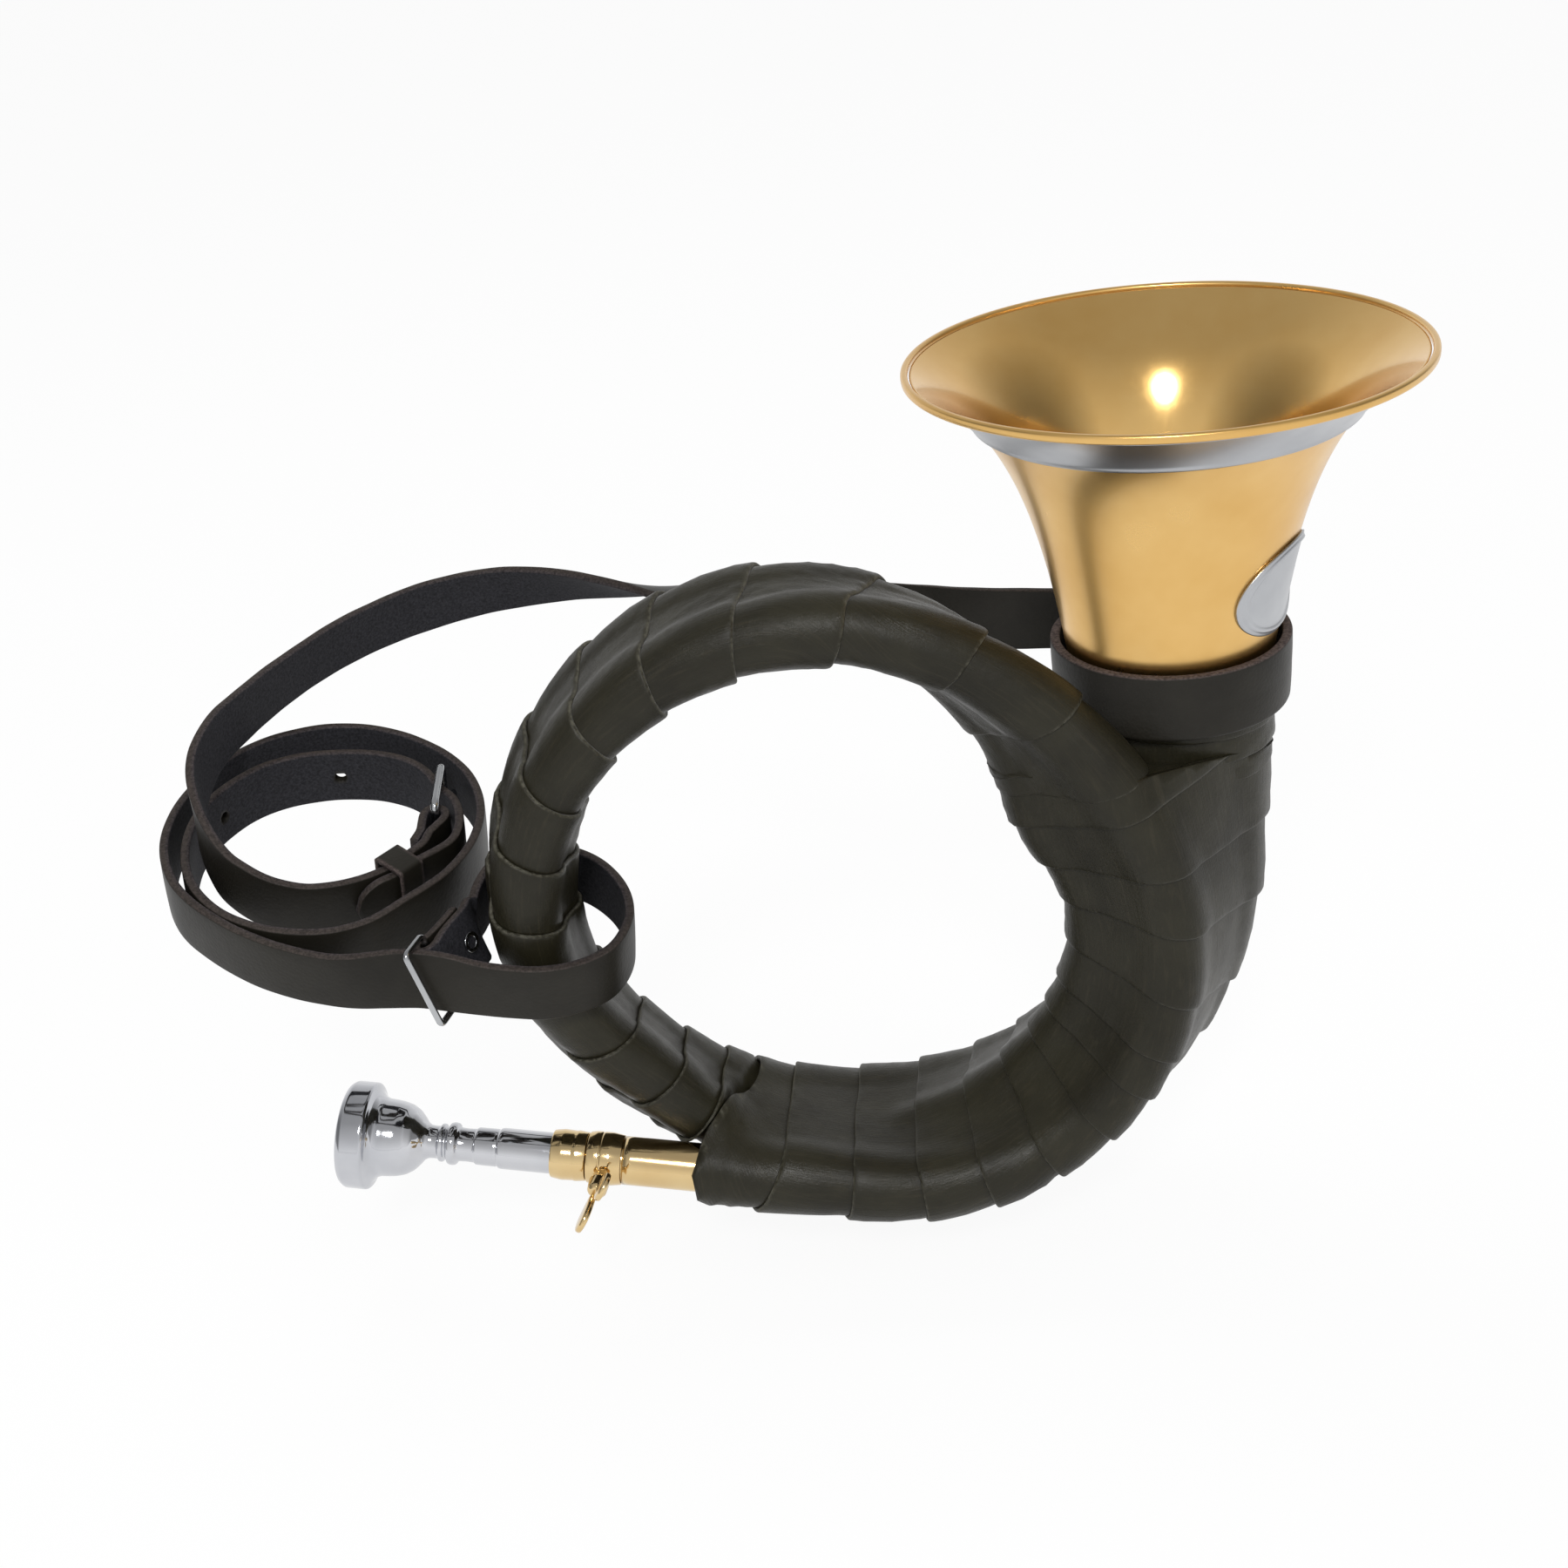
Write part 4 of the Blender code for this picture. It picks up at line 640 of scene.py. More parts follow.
def furthest(turns, strands):
    """The touching points of a tight outline, for FACINGS directions at each turn.

    In each direction n the strand that reaches furthest is taken: reach = n . centre + the
    reach of the ellipse that the slanting tube makes in the section.
    """
    facing = math.pi / 2 + np.arange(FACINGS) * math.tau / FACINGS
    n = np.stack([np.cos(facing), -np.sin(facing)], axis=1)
    best = np.full((len(turns), FACINGS), -1e9)
    touch = np.zeros((len(turns), FACINGS, 2))
    for ahead in strands:
        reach, depth, radius = strand(turns + ahead)
        reach_1, depth_1, _ = strand(turns + ahead + 1.0)
        step = math.radians(1.0) * reach
        wide = radius * np.hypot(1.0, (reach_1 - reach) / step)
        deep = radius * np.hypot(1.0, (depth_1 - depth) / step)
        spread = np.hypot(wide[:, None] * n[:, 0], deep[:, None] * n[:, 1])
        centre = np.stack([reach, depth], axis=1)
        half = np.stack([wide**2, deep**2], axis=1)
        spot = centre[:, None] + n[None] * half[:, None] / spread[..., None]
        support = centre @ n.T + spread
        further = support > best
        best = np.where(further, support, best)
        touch = np.where(further[..., None], spot, touch)
    return touch


def outline_table(first_turn, last_turn, strands):
    """The outline cut into equal lengths, starting near its outermost point, and sunk at spans."""
    turns = np.arange(first_turn, last_turn, TABLE_STEP)
    touch = furthest(turns, strands)
    closed = np.concatenate([touch, touch[:, :1]], axis=1)
    edges = np.linalg.norm(np.diff(closed, axis=1), axis=2)
    length = np.concatenate([np.zeros((len(turns), 1)), np.cumsum(edges, axis=1)], axis=1)
    # The outermost point's share of the way round is smoothed over the turn, because it would
    # jump where another tube becomes the outermost.
    begin = length[:, OUTERMOST - 1:OUTERMOST + 2].mean(axis=1) / length[:, -1]
    weights = np.hanning(WINDOW + 2)[1:-1]
    begin = np.convolve(np.pad(begin, len(weights) // 2, mode="edge"), weights, mode="valid")
    share = (np.arange(SIDES)[None] / SIDES + begin[:, None] / weights.sum()) % 1.0
    rows = list(zip(share, length, closed, edges))
    ring = np.stack([
        np.stack([np.interp(part * total[-1], total, line[:, k]) for k in (0, 1)], axis=1)
        for part, total, line, _ in rows
    ])
    gap = np.stack([
        np.interp(part * total[-1], (total[:-1] + total[1:]) / 2, edge, period=total[-1])
        for part, total, _, edge in rows
    ])
    along = np.roll(ring, -1, axis=1) - np.roll(ring, 1, axis=1)
    for _ in range(4):
        along = along + 0.5 * (np.roll(along, 1, axis=1) + np.roll(along, -1, axis=1))
    out = unit(np.stack([-along[..., 1], along[..., 0]], axis=2))
    centre = ring.mean(axis=1, keepdims=True)
    out *= np.sign(((ring - centre) * out).sum(-1, keepdims=True).mean(axis=1, keepdims=True))
    sink = DIP * np.clip((gap - 0.004) / 0.006, 0, 1)
    sink = (sink + np.roll(sink, 1, axis=1) + np.roll(sink, -1, axis=1)) / 3
    a = np.radians(turns)[:, None]
    return Table(first_turn, *(
        np.stack([flat[..., 0] * np.cos(a), flat[..., 1], flat[..., 0] * np.sin(a)], axis=2)
        for flat in (ring - out * sink[..., None], out)
    ))


GRIP_TABLE = outline_table(-134.0, 46.0, (0, 360, 720))
COIL_TABLE = outline_table(8.0, 254.0, (0, 360))
print("outline tables:", GRIP_TABLE.points.shape, COIL_TABLE.points.shape)

# %% [markdown]
# The strip itself: across its width it climbs from the tubes, at its far edge, to the top of
# the lap before, at its near edge. The lap lines are not evenly spaced on a horn wound by hand,
# so their turn angles are listed, and each edge wanders by a few tenths of a millimetre. Where
# two windings meet, the strip is trimmed along a line that may be slanted or level.
# %% Winding a strip
ACROSS = np.array([0.0, 0.012, 0.03, 0.07, 0.16, 0.3, 0.45, 0.6, 0.74, 0.84, 0.92, 1.0])
UNDERSIDE = [11, 9, 8, 7, 6, 5, 4, 3, 0]  # the columns that the strip's underside repeats
LAP_GAP = 0.00012
USUAL_LAP = 14.0  # the edges' wander is given for laps this many degrees apart


def winding(name, table, laps, low, high, overlap=0.22, room=0.0009, thick=0.0010, seed=0.0,
            first=0.0, last=None, wander=0.25, tuck=0.0):
    """A strip: turn = lap line + v (next line - lap line)(1 + overlap), lifted by its climb.

    laps are the turn angles of the near edge at the outline's first column, low and high give
    the trimmed ends for every column. The lift falls from both layers at the near edge to the
    room alone at the far edge, and the edge thins over its last half millimetre. Where an end
    is tucked under another winding, its last tuck degrees are pressed down to a fifth.
    """
    lines = np.asarray(laps, float)
    order = np.arange(len(lines))
    end = (len(lines) - 1) * SIDES if last is None else int(last * SIDES) + 1
    k = np.arange(int(first * SIDES), end)
    side, number = k % SIDES, k / SIDES
    near = smooth(order, lines[:, None], number)[:, 0]
    after = smooth(order, lines[:, None], np.minimum(number + 1, order[-1]))[:, 0]
    after = np.where(number + 1 > order[-1], near + (lines[-1] - lines[-2]), after)
    pitch = after - near
    scale = wander * float(np.mean(np.abs(pitch))) / USUAL_LAP

    def sway(x):
        """Three sines of different length, in degrees of turn."""
        wave = np.sin(2.1 * x + seed) + 0.6 * np.sin(5.3 * x + 2 * seed) + 0.4 * np.sin(9.7 * x)
        return scale * wave

    near = near + sway(number * math.tau / 1.7)
    far = after + sway((number + 1) * math.tau / 1.7) + overlap * pitch
    shown = np.flatnonzero((far > low[side]) & (near < high[side] - 0.05))
    rows = slice(shown[0], shown[-1] + 1)
    k = k[rows]
    side, number, near, far, pitch = (a[rows, None] for a in (side, number, near, far, pitch))
    turn = np.clip(near + ACROSS * (far - near), low[side], high[side])
    climb = (thick + LAP_GAP) / np.maximum(pitch, 1e-6)
    above = climb * np.clip(far - turn, 0.0, 1.25 * pitch)
    above = above * (0.72 + 0.28 * np.clip((far - turn) / pitch, 0, 1))
    edge = np.clip((turn - near) / (0.045 * np.abs(pitch)), 0, 1)
    crown = thick * (0.55 + 0.45 * np.sqrt(edge * (2 - edge)))
    puff = 0.00022 * np.sin(np.pi * np.clip((turn - near) / pitch, 0, 1))
    ripple = 0.00010 * np.sin(side * 0.9 + 3.0 * number) * np.cos(turn * 1.3 + seed)
    inside = np.minimum(turn - low[side], high[side] - turn)
    press = 1.0 if tuck == 0 else 0.18 + 0.82 * np.clip((inside - tuck) / 0.9, 0, 1)
    base, way = table.read(turn, side)
    way = unit(way)
    over = base + way * (press * (room + above + crown + puff + ripple))[..., None]
    under = base + way * (press * (room + above - 0.00005))[..., None]
    grid = np.concatenate([over, under[:, UNDERSIDE]], axis=1)
    raw = np.zeros(grid.shape[:2])
    raw[:, [0, -1]] = 1.0
    raw[:, 1] = 0.35
    across = np.concatenate([ACROSS, 2 - ACROSS[UNDERSIDE], [2.01]])
    return grid_piece(name, grid + SHIFT, u=k / SIDES * 1.6, v=across * 0.16, marks={"raw": raw})


# %% Trim lines
GRIP_TOP = 0.0292
COIL_TUCK = 3.6  # degrees that the coil's strip runs on past the grip's low line


def level_line(table, level, guess):
    """The turn angle at which each column of an outline reaches a height, by fixed-point steps."""
    turn = np.full(SIDES, guess, float)
    for _ in range(12):
        spot, _ = table.read(turn, np.arange(SIDES))
        reach = np.hypot(spot[:, 0], spot[:, 2])
        turn = 0.5 * turn + 0.5 * np.degrees(np.arcsin(np.clip(level / reach, -1, 0.9)))
    return turn


columns = np.arange(SIDES) / SIDES * math.tau
grip_low = -119.0 - 6.2 * np.sin(columns)
grip_level = GRIP_TOP - 0.0040 * np.cos(columns) + 0.0062 * np.clip(np.sin(columns), 0, 1)
grip_high = level_line(GRIP_TABLE, grip_level, 20.0) + 0.5 * np.sin(2 * columns)
coil_low = level_line(COIL_TABLE, GRIP_TOP - 0.004, 20.0)
print("grip's top edge, turn angles:", grip_high.min().round(1), "to", grip_high.max().round(1))

# %% [markdown]
# The coil's strip is cut in two where it is widest, at the left, so that only its upper part is
# left out of the bell's reflections. Its lower end runs a little way into the grip's mouth and is
# pressed down there, so the grip lies over it and no brass shows.
# %% Windings of coil and grip
COIL_LAPS = [-3.0, 12.0, 27.0, 43.0, 61.5, 81.6, 98.2, 114.0, 128.0, 142.7, 156.0, 169.0, 183.0,
             200.0, 218.0, 230.6, 243.0, 256.0]
GRIP_LAPS = [-129.5, -115.4, -100.0, -85.2, -72.5, -60.1, -49.4, -39.0, -31.0, -21.5, -7.3, 4.5,
             18.0, 32.0, 46.0]
CUT_LAP = 8.75

coil, coil_rest = (
    winding(name, COIL_TABLE, COIL_LAPS, coil_low, grip_low + 360 + COIL_TUCK, room=0.0008,
            seed=0.7, first=first, last=last, tuck=3.3)
    for name, first, last in (("coil_strip", 0.5, CUT_LAP), ("coil_strip_lower", CUT_LAP, None))
)
place(coil, "coil_winding", WRAP)
coil.visible_glossy = False
place(coil_rest, "coil_winding", WRAP, stands=False)
grip = winding("grip_strip", GRIP_TABLE, GRIP_LAPS, grip_low + 0.4, grip_high, room=0.0010,
               seed=2.2, first=0.2)
place(grip, "bundle_winding", WRAP)

# %% [markdown]
# Above the grip the strip goes on round the bell's throat, in slanting laps that end under the
# strap's collar. Here the outline is a circle with the bell's own radius, and its place is a
# height in millimetres instead of a turn angle. Two plugs of folded leather fill the crotches
# where the coil leaves the grip, so no brass shows there.
# %% Throat and plugs
THROAT_FOOT = 20.0  # the lowest circle of the throat's table, in millimetres
THROAT_LAPS = [21.5, 27.0, 33.0, 39.5, 46.0]
SHRINK = np.array([1.0, 0.97, 0.85, 0.7, 0.5, 0.3, 0.15, 0.02])

levels = np.arange(THROAT_FOOT, 50.0, TABLE_STEP) / 1000
around = math.pi - columns
flat = np.stack([np.cos(around), np.sin(around), 0 * around], axis=1)
circles = np.array([BELL_X, BELL_Y, 0.0]) + flat[None] * bell_radius(levels)[:, None, None]
circles[..., 2] = levels[:, None]
throat_table = Table(THROAT_FOOT, circles, np.broadcast_to(flat, circles.shape))
throat_low = 27.4 - 3.6 * np.clip(-np.cos(columns), 0, 1)
throat = winding("throat_strip", throat_table, THROAT_LAPS, throat_low, np.full(SIDES, 41.6),
                 overlap=0.3, room=0.0005, thick=0.0008, seed=4.0, first=0.25, wander=0.12)
place(throat, "throat_winding", WRAP)


def plug(name, turns, inset, hump, back):
    """A cap over the grip's outline: ring = middle + share (edge - middle), humped, and a back."""
    edge, way = GRIP_TABLE.read(turns, np.arange(SIDES))
    edge = edge - way * inset
    middle = edge.mean(axis=0)
    top = middle + (edge - middle) * SHRINK[:, None, None]
    top[..., 2] += hump * np.sin(np.linspace(0, math.pi, len(SHRINK)))[:, None]
    grid = np.concatenate([top[::-1], top + np.array(back)])
    place(grid_piece(name, grid + SHIFT, marks={"raw": 0.0}), "bundle_winding", WRAP, stands=False)


plug("crotch_fold", grip_high - 0.9, -0.0006, 0.0006, [0.0, 0.0, -0.0015])
mouth_turn = math.radians(-120.0)
plug("lead_fold", grip_low + 1.6, 0.0012, 0.0,
     [-0.0012 * math.sin(mouth_turn), 0.0, 0.0012 * math.cos(mouth_turn)])

# %% [markdown]
# ## The straps
#
# One strap hangs in loops: its noose holds the coil, it runs through a wire loop, round the
# big outer turn and back inside it to the buckle; the other comes off the buckle, sweeps
# behind the coil and ends at the collar round the bell. A strap is a rounded rectangle carried
# along its route. The width direction is listed with the route and interpolated like the
# places, which is how the long strap turns over on its way without a kink.
# %% Strap tools
STRAP_WIDE = 0.0155
STRAP_THICK = 0.0022
LOOP_UP = unit(np.array([0.114, -0.20, 1.0]))
ROUTE_STEP = 0.0011
SLIDE_WIRE, BUCKLE_WIRE = 0.0016, 0.0022


def loop_point(x, y):
    """A plan point in millimetres, laid on the loops' tilted plane: z = z0 + a dx + b dy."""
    x, y = x / 1000, y / 1000
    return np.array([x, y, -0.0049 + 0.114 * (-0.0675 - x) + 0.20 * (y + 0.017)])


def fold(bar, up, heading, side, tail, wire):
    """A strap's end round an upright bar: up one side, half a circle round the bar, back."""
    ahead = square(np.array([*heading, 0.0]), up)
    left = np.cross(up, ahead) * side
    bend = wire / 2 + 0.0005 + STRAP_THICK / 2
    close = (STRAP_THICK + 0.0005) / 2
    a = np.radians(np.linspace(0, 180, 7))[:, None]
    turn = bar + (left * np.cos(a) - ahead * np.sin(a)) * bend
    first, last = ([bar + ahead * tail + way * close, bar + ahead * tail * 0.6 + way * close,
                    bar + ahead * bend * 1.5 + way * (bend + close) / 2] for way in (left, -left))
    return np.concatenate([first, turn, last[::-1]])


def strap_route(points, ups, spacing=0.0055):
    """Even steps along smooth points: the model's own coarse route, then a finer curve."""
    points, ups = np.asarray(points, float), np.asarray(ups, float)
    gaps = np.linalg.norm(np.diff(points, axis=0), axis=1)
    lengths = np.concatenate([[0.0], np.cumsum(gaps)])
    stops = [np.linspace(a, b, max(1, round((b - a) / spacing)), endpoint=False)
             for a, b in zip(lengths, lengths[1:])]
    stops = np.append(np.concatenate(stops), lengths[-1])
    at = np.linspace(0, lengths[-1], int(lengths[-1] / ROUTE_STEP))
    places, wide = (smooth(stops, smooth(lengths, a, stops), at) for a in (points, ups))
    ahead = unit(np.gradient(places, at, axis=0))
    return places, ahead, square(wide, ahead)


def strap_section(half_wide, half_thick, soft=0.0005):
    """A rectangle of points, across and out, with rounded corners; the suede side comes first."""
    corner = np.radians([15, 45, 75])
    flat = np.linspace(-(half_wide - soft), half_wide - soft, 7)
    right = [(half_wide - soft + soft * math.sin(a), half_thick - soft + soft * math.cos(a))
             for a in corner]
    section = [(w, half_thick) for w in flat] + right + [(half_wide, 0.0)]
    section += [(w, -h) for w, h in right[::-1]] + [(w, -half_thick) for w in flat[::-1]]
    section += [(-w, -h) for w, h in right] + [(-half_wide, 0.0)]
    section += [(-w, h) for w, h in right[::-1]]
    return np.array(section)


def strap_piece(name, route, seed=0.0, round_end=False):
    """A rounded bar section carried along the route: point = place + w * wide + h * normal.

    The suede side is the one the normal points to. The width wavers by a tenth of a millimetre.
    """
    places, ahead, wide = route
    half_wide, half_thick = STRAP_WIDE / 2, STRAP_THICK / 2
    section = strap_section(half_wide, half_thick)
    across, out = section.T
    run = np.arange(len(places)) * ROUTE_STEP
    waver = 1 + 0.006 * np.sin(run * 210 + seed) + 0.004 * np.sin(run * 530 + 2 * seed)
    if round_end:
        left = run[::-1] / half_wide
        waver = waver * np.sqrt(np.clip(left, 0.0004, 1) * (2 - np.clip(left, 0, 1)))
    out = out + 0.00012 * (across / half_wide) ** 2
    grid = (places[:, None] + wide[:, None] * across[None, :, None] * waver[:, None, None]
            + np.cross(ahead, wide)[:, None] * out[None, :, None])
    marks = {"suede": section[:, 1] > 0.6 * half_thick,
             "raw": 0.4 * (np.abs(across) > half_wide - 0.0003)}
    around = np.concatenate([[0], np.cumsum(np.linalg.norm(np.diff(section, axis=0), axis=1))])
    around = np.append(around, around[-1] + 0.0004)
    u, v = run * PICTURE_SCALE, around * PICTURE_SCALE
    return grid_piece(name, grid + SHIFT, u=u, v=v, marks=marks)


# %% Plan of the loops
NOOSE = [(-88.0, 4.6), (-86.6, 11.0), (-83.4, 18.6), (-75.0, 24.4), (-62.0, 22.0), (-53.0, 12.0),
         (-50.5, -0.5), (-55.5, -12.5), (-67.5, -18.6), (-83.0, -17.7), (-97.5, -16.9)]
OUTER_LOOP = [(-118.0, -13.9), (-134.0, -8.5), (-147.5, 0.5), (-158.0, 12.0), (-163.0, 27.0),
              (-161.5, 43.0), (-155.0, 57.0), (-144.0, 68.0), (-128.0, 74.0), (-114.0, 72.5),
              (-101.0, 65.5), (-91.0, 54.0), (-87.0, 40.0), (-88.5, 27.0), (-94.5, 15.0)]
INNER_LOOP = [(-103.5, 5.5), (-110.5, -1.0), (-118.5, -4.6), (-128.0, -5.2), (-138.0, -2.6),
              (-147.0, 3.0), (-154.0, 12.0), (-157.6, 25.0), (-156.5, 38.5), (-151.0, 49.5),
              (-143.0, 57.5), (-134.0, 61.5), (-124.0, 63.0), (-112.5, 61.8), (-105.5, 58.6),
              (-101.3, 54.6), (-98.2, 49.0), (-94.0, 43.6), (-92.1, 36.6)]
NEAR_BAND = [(-103.6, 22.4), (-108.6, 17.0), (-116.5, 12.6), (-127.5, 10.6)]
SWEEP = [(-137.5, 11.0, 11.5), (-145.0, 13.6, 17.5), (-150.0, 19.5, 25.0), (-152.5, 30.0, 33.0),
         (-151.0, 45.0, 37.2), (-145.0, 63.0, 38.4), (-137.0, 80.5, 39.0), (-121.6, 103.5, 39.7),
         (-104.1, 116.8, 40.5), (-85.9, 121.3, 41.5), (-66.3, 117.5, 42.5), (-46.5, 106.4, 43.4),
         (-27.0, 93.0, 44.3), (-4.0, 76.5, 45.4), (20.0, 60.5, 46.5), (41.0, 48.5, 47.5),
         (56.0, 42.6, 48.0)]
TWIST = [0, 0, 0, 2, 6, 12, 16, 16, 15, 22, 38, 58, 88, 122, 152, 172, 180, 180, 180, 180]
FAR_BAR = np.array([-0.0948, -0.0118, 0.0002])
SLIDE_UP = unit(np.array([-0.247, 0.0, 0.969]))
HINGE = loop_point(-98.2, 37.5)
END_BAR = loop_point(-97.5, 54.0)
COLLAR_FOOT = 0.0404
COLLAR_MIDDLE = COLLAR_FOOT + STRAP_WIDE / 2
COLLAR_RADIUS = float(bell_radius(COLLAR_FOOT + STRAP_WIDE)) + 0.0006

# %% [markdown]
# The long strap starts folded round the buckle's bar, and its last points hug the collar. The
# short strap starts folded round the slide loop's bar and ends as the tongue, which lies a
# little off the long strap's first centimetres.
# %% Routes of the straps
noose_end = fold(FAR_BAR, SLIDE_UP, (0.50, 0.866), 1, 0.0142, SLIDE_WIRE)
band_start = fold(HINGE, LOOP_UP, (-0.28, -0.96), -1, 0.0110, BUCKLE_WIRE)
band = np.array([loop_point(*spot) for spot in NEAR_BAND])
hug = COLLAR_RADIUS + STRAP_THICK * 1.5 + 0.0005
sweep = np.array([np.array(spot) / 1000 for spot in SWEEP] + [
    np.array([BELL_X + hug * math.cos(facing), BELL_Y + hug * math.sin(facing), COLLAR_MIDDLE])
    for facing in np.radians([100, 82, 64])])
ups = [LOOP_UP] * (len(band_start) + len(band))
for i, twist in enumerate(np.radians(TWIST)):
    ahead = unit(sweep[min(i + 1, len(sweep) - 1)] - sweep[max(i - 1, 0)])
    up = LOOP_UP if i < 3 else np.array([0.0, 0.0, 1.0])
    ups.append(up * math.cos(twist) + unit(np.cross(ahead, up)) * math.sin(twist))
long_route = strap_route(np.concatenate([band_start, band, sweep]), ups)
place(strap_piece("long_strap_leather", long_route, seed=1.0), "long_strap", HARNESS)

tongue = []
run = [band_start[-1], *band]
for before, here, after in zip(run, run[1:], run[2:]):
    tongue.append(here - unit(np.cross(after - before, LOOP_UP)) * (STRAP_THICK + 0.0012))
path = [*noose_end, *[loop_point(*spot) for spot in NOOSE + OUTER_LOOP + INNER_LOOP],
        loop_point(-93.2, 28.0), *tongue]
ups = [SLIDE_UP] * len(noose_end) + [LOOP_UP] * (len(path) - len(noose_end))
through = len(noose_end) + len(NOOSE) - 1  # where the band runs through the slide loop
path[through] = path[through] + SLIDE_UP * 0.0028
ups[through] = SLIDE_UP
short_route = strap_route(path, ups)
short_strap = strap_piece("short_strap_leather", short_route, seed=3.0, round_end=True)
lengths = [round(len(route[0]) * ROUTE_STEP, 3) for route in (long_route, short_route)]
print("strap lengths:", lengths)


# %% Holes in the strap
def punch(piece, cutter):
    """Cuts one mesh out of another with an exact boolean, and applies it at once."""
    piece.data.materials.clear()
    cut = piece.modifiers.new("cut", "BOOLEAN")
    cut.solver = "EXACT"
    cut.object = cutter
    graph = bpy.context.evaluated_depsgraph_get()
    mesh = bpy.data.meshes.new_from_object(
        piece.evaluated_get(graph), preserve_all_data_layers=True, depsgraph=graph)
    piece.modifiers.clear()
    piece.data = mesh
    bpy.data.objects.remove(cutter)


def nearest(route, spot):
    """The strap's own frame beside a point: along it, across it, out of its face."""
    at = int(np.argmin(np.linalg.norm(route[0] - spot, axis=1)))
    along, wide = Vector(route[1][at]), Vector(route[2][at])
    return frame_at(route[0][at] + SHIFT, along, wide, along.cross(wide))


HOLE_RADIUS = 0.0015
for spot in ((-124.0, 63.0), (-152.5, 47.0)):
    a = np.arange(32) * math.tau / 32
    ring = np.stack([HOLE_RADIUS * np.cos(a), HOLE_RADIUS * np.sin(a), 0 * a], axis=1)
    grid = np.stack([ring + [0.0, 0.0, height] for height in (-0.003, 0.003)])
    punch(short_strap, grid_piece("hole", carried(grid, nearest(short_route, loop_point(*spot)))))
place(short_strap, "short_strap", HARNESS)

# %% [markdown]
# The collar is the strap's end sewn into a ring round the bell's throat. It follows the bell's
# slope a little and its outer face bulges by a few tenths of a millimetre. It is lathed whole,
# without a seam.
# %% Collar
rise = np.linspace(-1, 1, 13)
height = COLLAR_MIDDLE + rise * STRAP_WIDE / 2
inside = COLLAR_RADIUS + 0.0004 * np.clip(rise, 0, 1)
outside = inside + STRAP_THICK + 0.0003 * (1 - rise**2)
outside, inside = (np.stack([radius, height], axis=1) for radius in (outside, inside))
ring = rounded(np.concatenate([outside[::-1], inside]), 0.0004, 2)
marks = {"raw": ring[:, 1] > COLLAR_MIDDLE + STRAP_WIDE / 2 - 0.0003,
         "suede": ring[:, 0] < COLLAR_RADIUS + 0.0008}
place(lathe("collar_strap", ring, bell_place, sides=160, marks=marks), "strap_collar", HARNESS)

# %% [markdown]
# ## Buckle, slide loop, eyelet and keeper
#
# The fittings are bent from round nickel-plated wire. A rectangle with rounded corners is laid
# out as straight runs and quarter turns, and a round section is carried along it.
# %% Wire fittings
def wire_ring(name, corners, wire, bend):
    """A closed wire: each corner is a curve from bend before it to bend after, then swept round."""
    corners = np.array(corners)
    back = unit(np.roll(corners, 1, axis=0) - corners)
    ahead = unit(np.roll(corners, -1, axis=0) - corners)
    t = np.linspace(0, 1, 9)[None, :, None]
    arc = ((1 - t) ** 2 * (corners + back * bend)[:, None] + 2 * t * (1 - t) * corners[:, None]
           + t**2 * (corners + ahead * bend)[:, None])
    following = np.roll(arc, -1, axis=0)[:, 0]
    s = np.linspace(0, 1, 8)[1:-1][None, :, None]
    straight = arc[:, -1][:, None] * (1 - s) + following[:, None] * s
    line = np.concatenate([arc, straight], axis=1).reshape(-1, 3)
    heading = unit(np.roll(line, -1, axis=0) - np.roll(line, 1, axis=0))
    normal = unit(np.cross(corners[1] - corners[0], corners[2] - corners[1]))
    side = np.cross(heading, normal)
    a = np.arange(24) * math.tau / 24
    cos, sin = np.cos(a)[None, :, None], np.sin(a)[None, :, None]
    grid = line[:, None] + wire / 2 * (cos * side[:, None] + sin * normal)
    return grid_piece(name, grid + SHIFT, wrap_rows=True)


near = np.array([FAR_BAR[0] - 0.0028, -0.0204, FAR_BAR[2]])
half = SLIDE_UP * (STRAP_WIDE / 2 + 0.0015 + 0.0008)
corners = [near - half, FAR_BAR - half, FAR_BAR + half, near + half]
place(wire_ring("slide_wire", corners, SLIDE_WIRE, 0.0016), "slide_loop", NICKEL)
half = LOOP_UP * (STRAP_WIDE / 2 + 0.0010 + 0.0011)
corners = [HINGE - half, END_BAR - half, END_BAR + half, HINGE + half]
place(wire_ring("buckle_wire", corners, BUCKLE_WIRE, 0.0024), "buckle_frame", NICKEL)

# %% [markdown]
# The prong is a flattened ring round the buckle's bar with a wire shaft that rests on the far
# bar. The eyelet is a short tube with a flange on both faces of the folded strap.
# %% Prong and eyelet
PRONG_WIRE = 0.0009
ahead = unit(END_BAR - HINGE)
reach = float(np.linalg.norm(END_BAR - HINGE))
prong_place = frame_at(HINGE + SHIFT, ahead, -np.cross(ahead, LOOP_UP), LOOP_UP)
eye = [(0.00239, PRONG_WIRE), (0.00239, -PRONG_WIRE), (0.0014, -PRONG_WIRE), (0.0014, PRONG_WIRE)]
eye = lathe("prong_eye", rounded(eye, 0.0003), prong_place, sides=48)
bends = [(0.0019, -0.0004, 0), (0.005, -0.0010, 0), (reach - 0.002, -0.0023, 0),
         (reach + 0.0022, -0.0023, 0)]
run = smooth([0, 1, 2, 3], bends, np.linspace(0, 3, 30))
thick = PRONG_WIRE * np.concatenate([np.ones(24), np.sqrt(1 - np.linspace(0, 0.97, 6) ** 2)])
shaft = carried(tube_grid(run, 20, thick, np.array([0.0, 0.0, 1.0])), prong_place)
prong = joined("prong_wire", [eye, grid_piece("prong_shaft", shaft)])
place(prong, "buckle_prong", NICKEL, "prong")

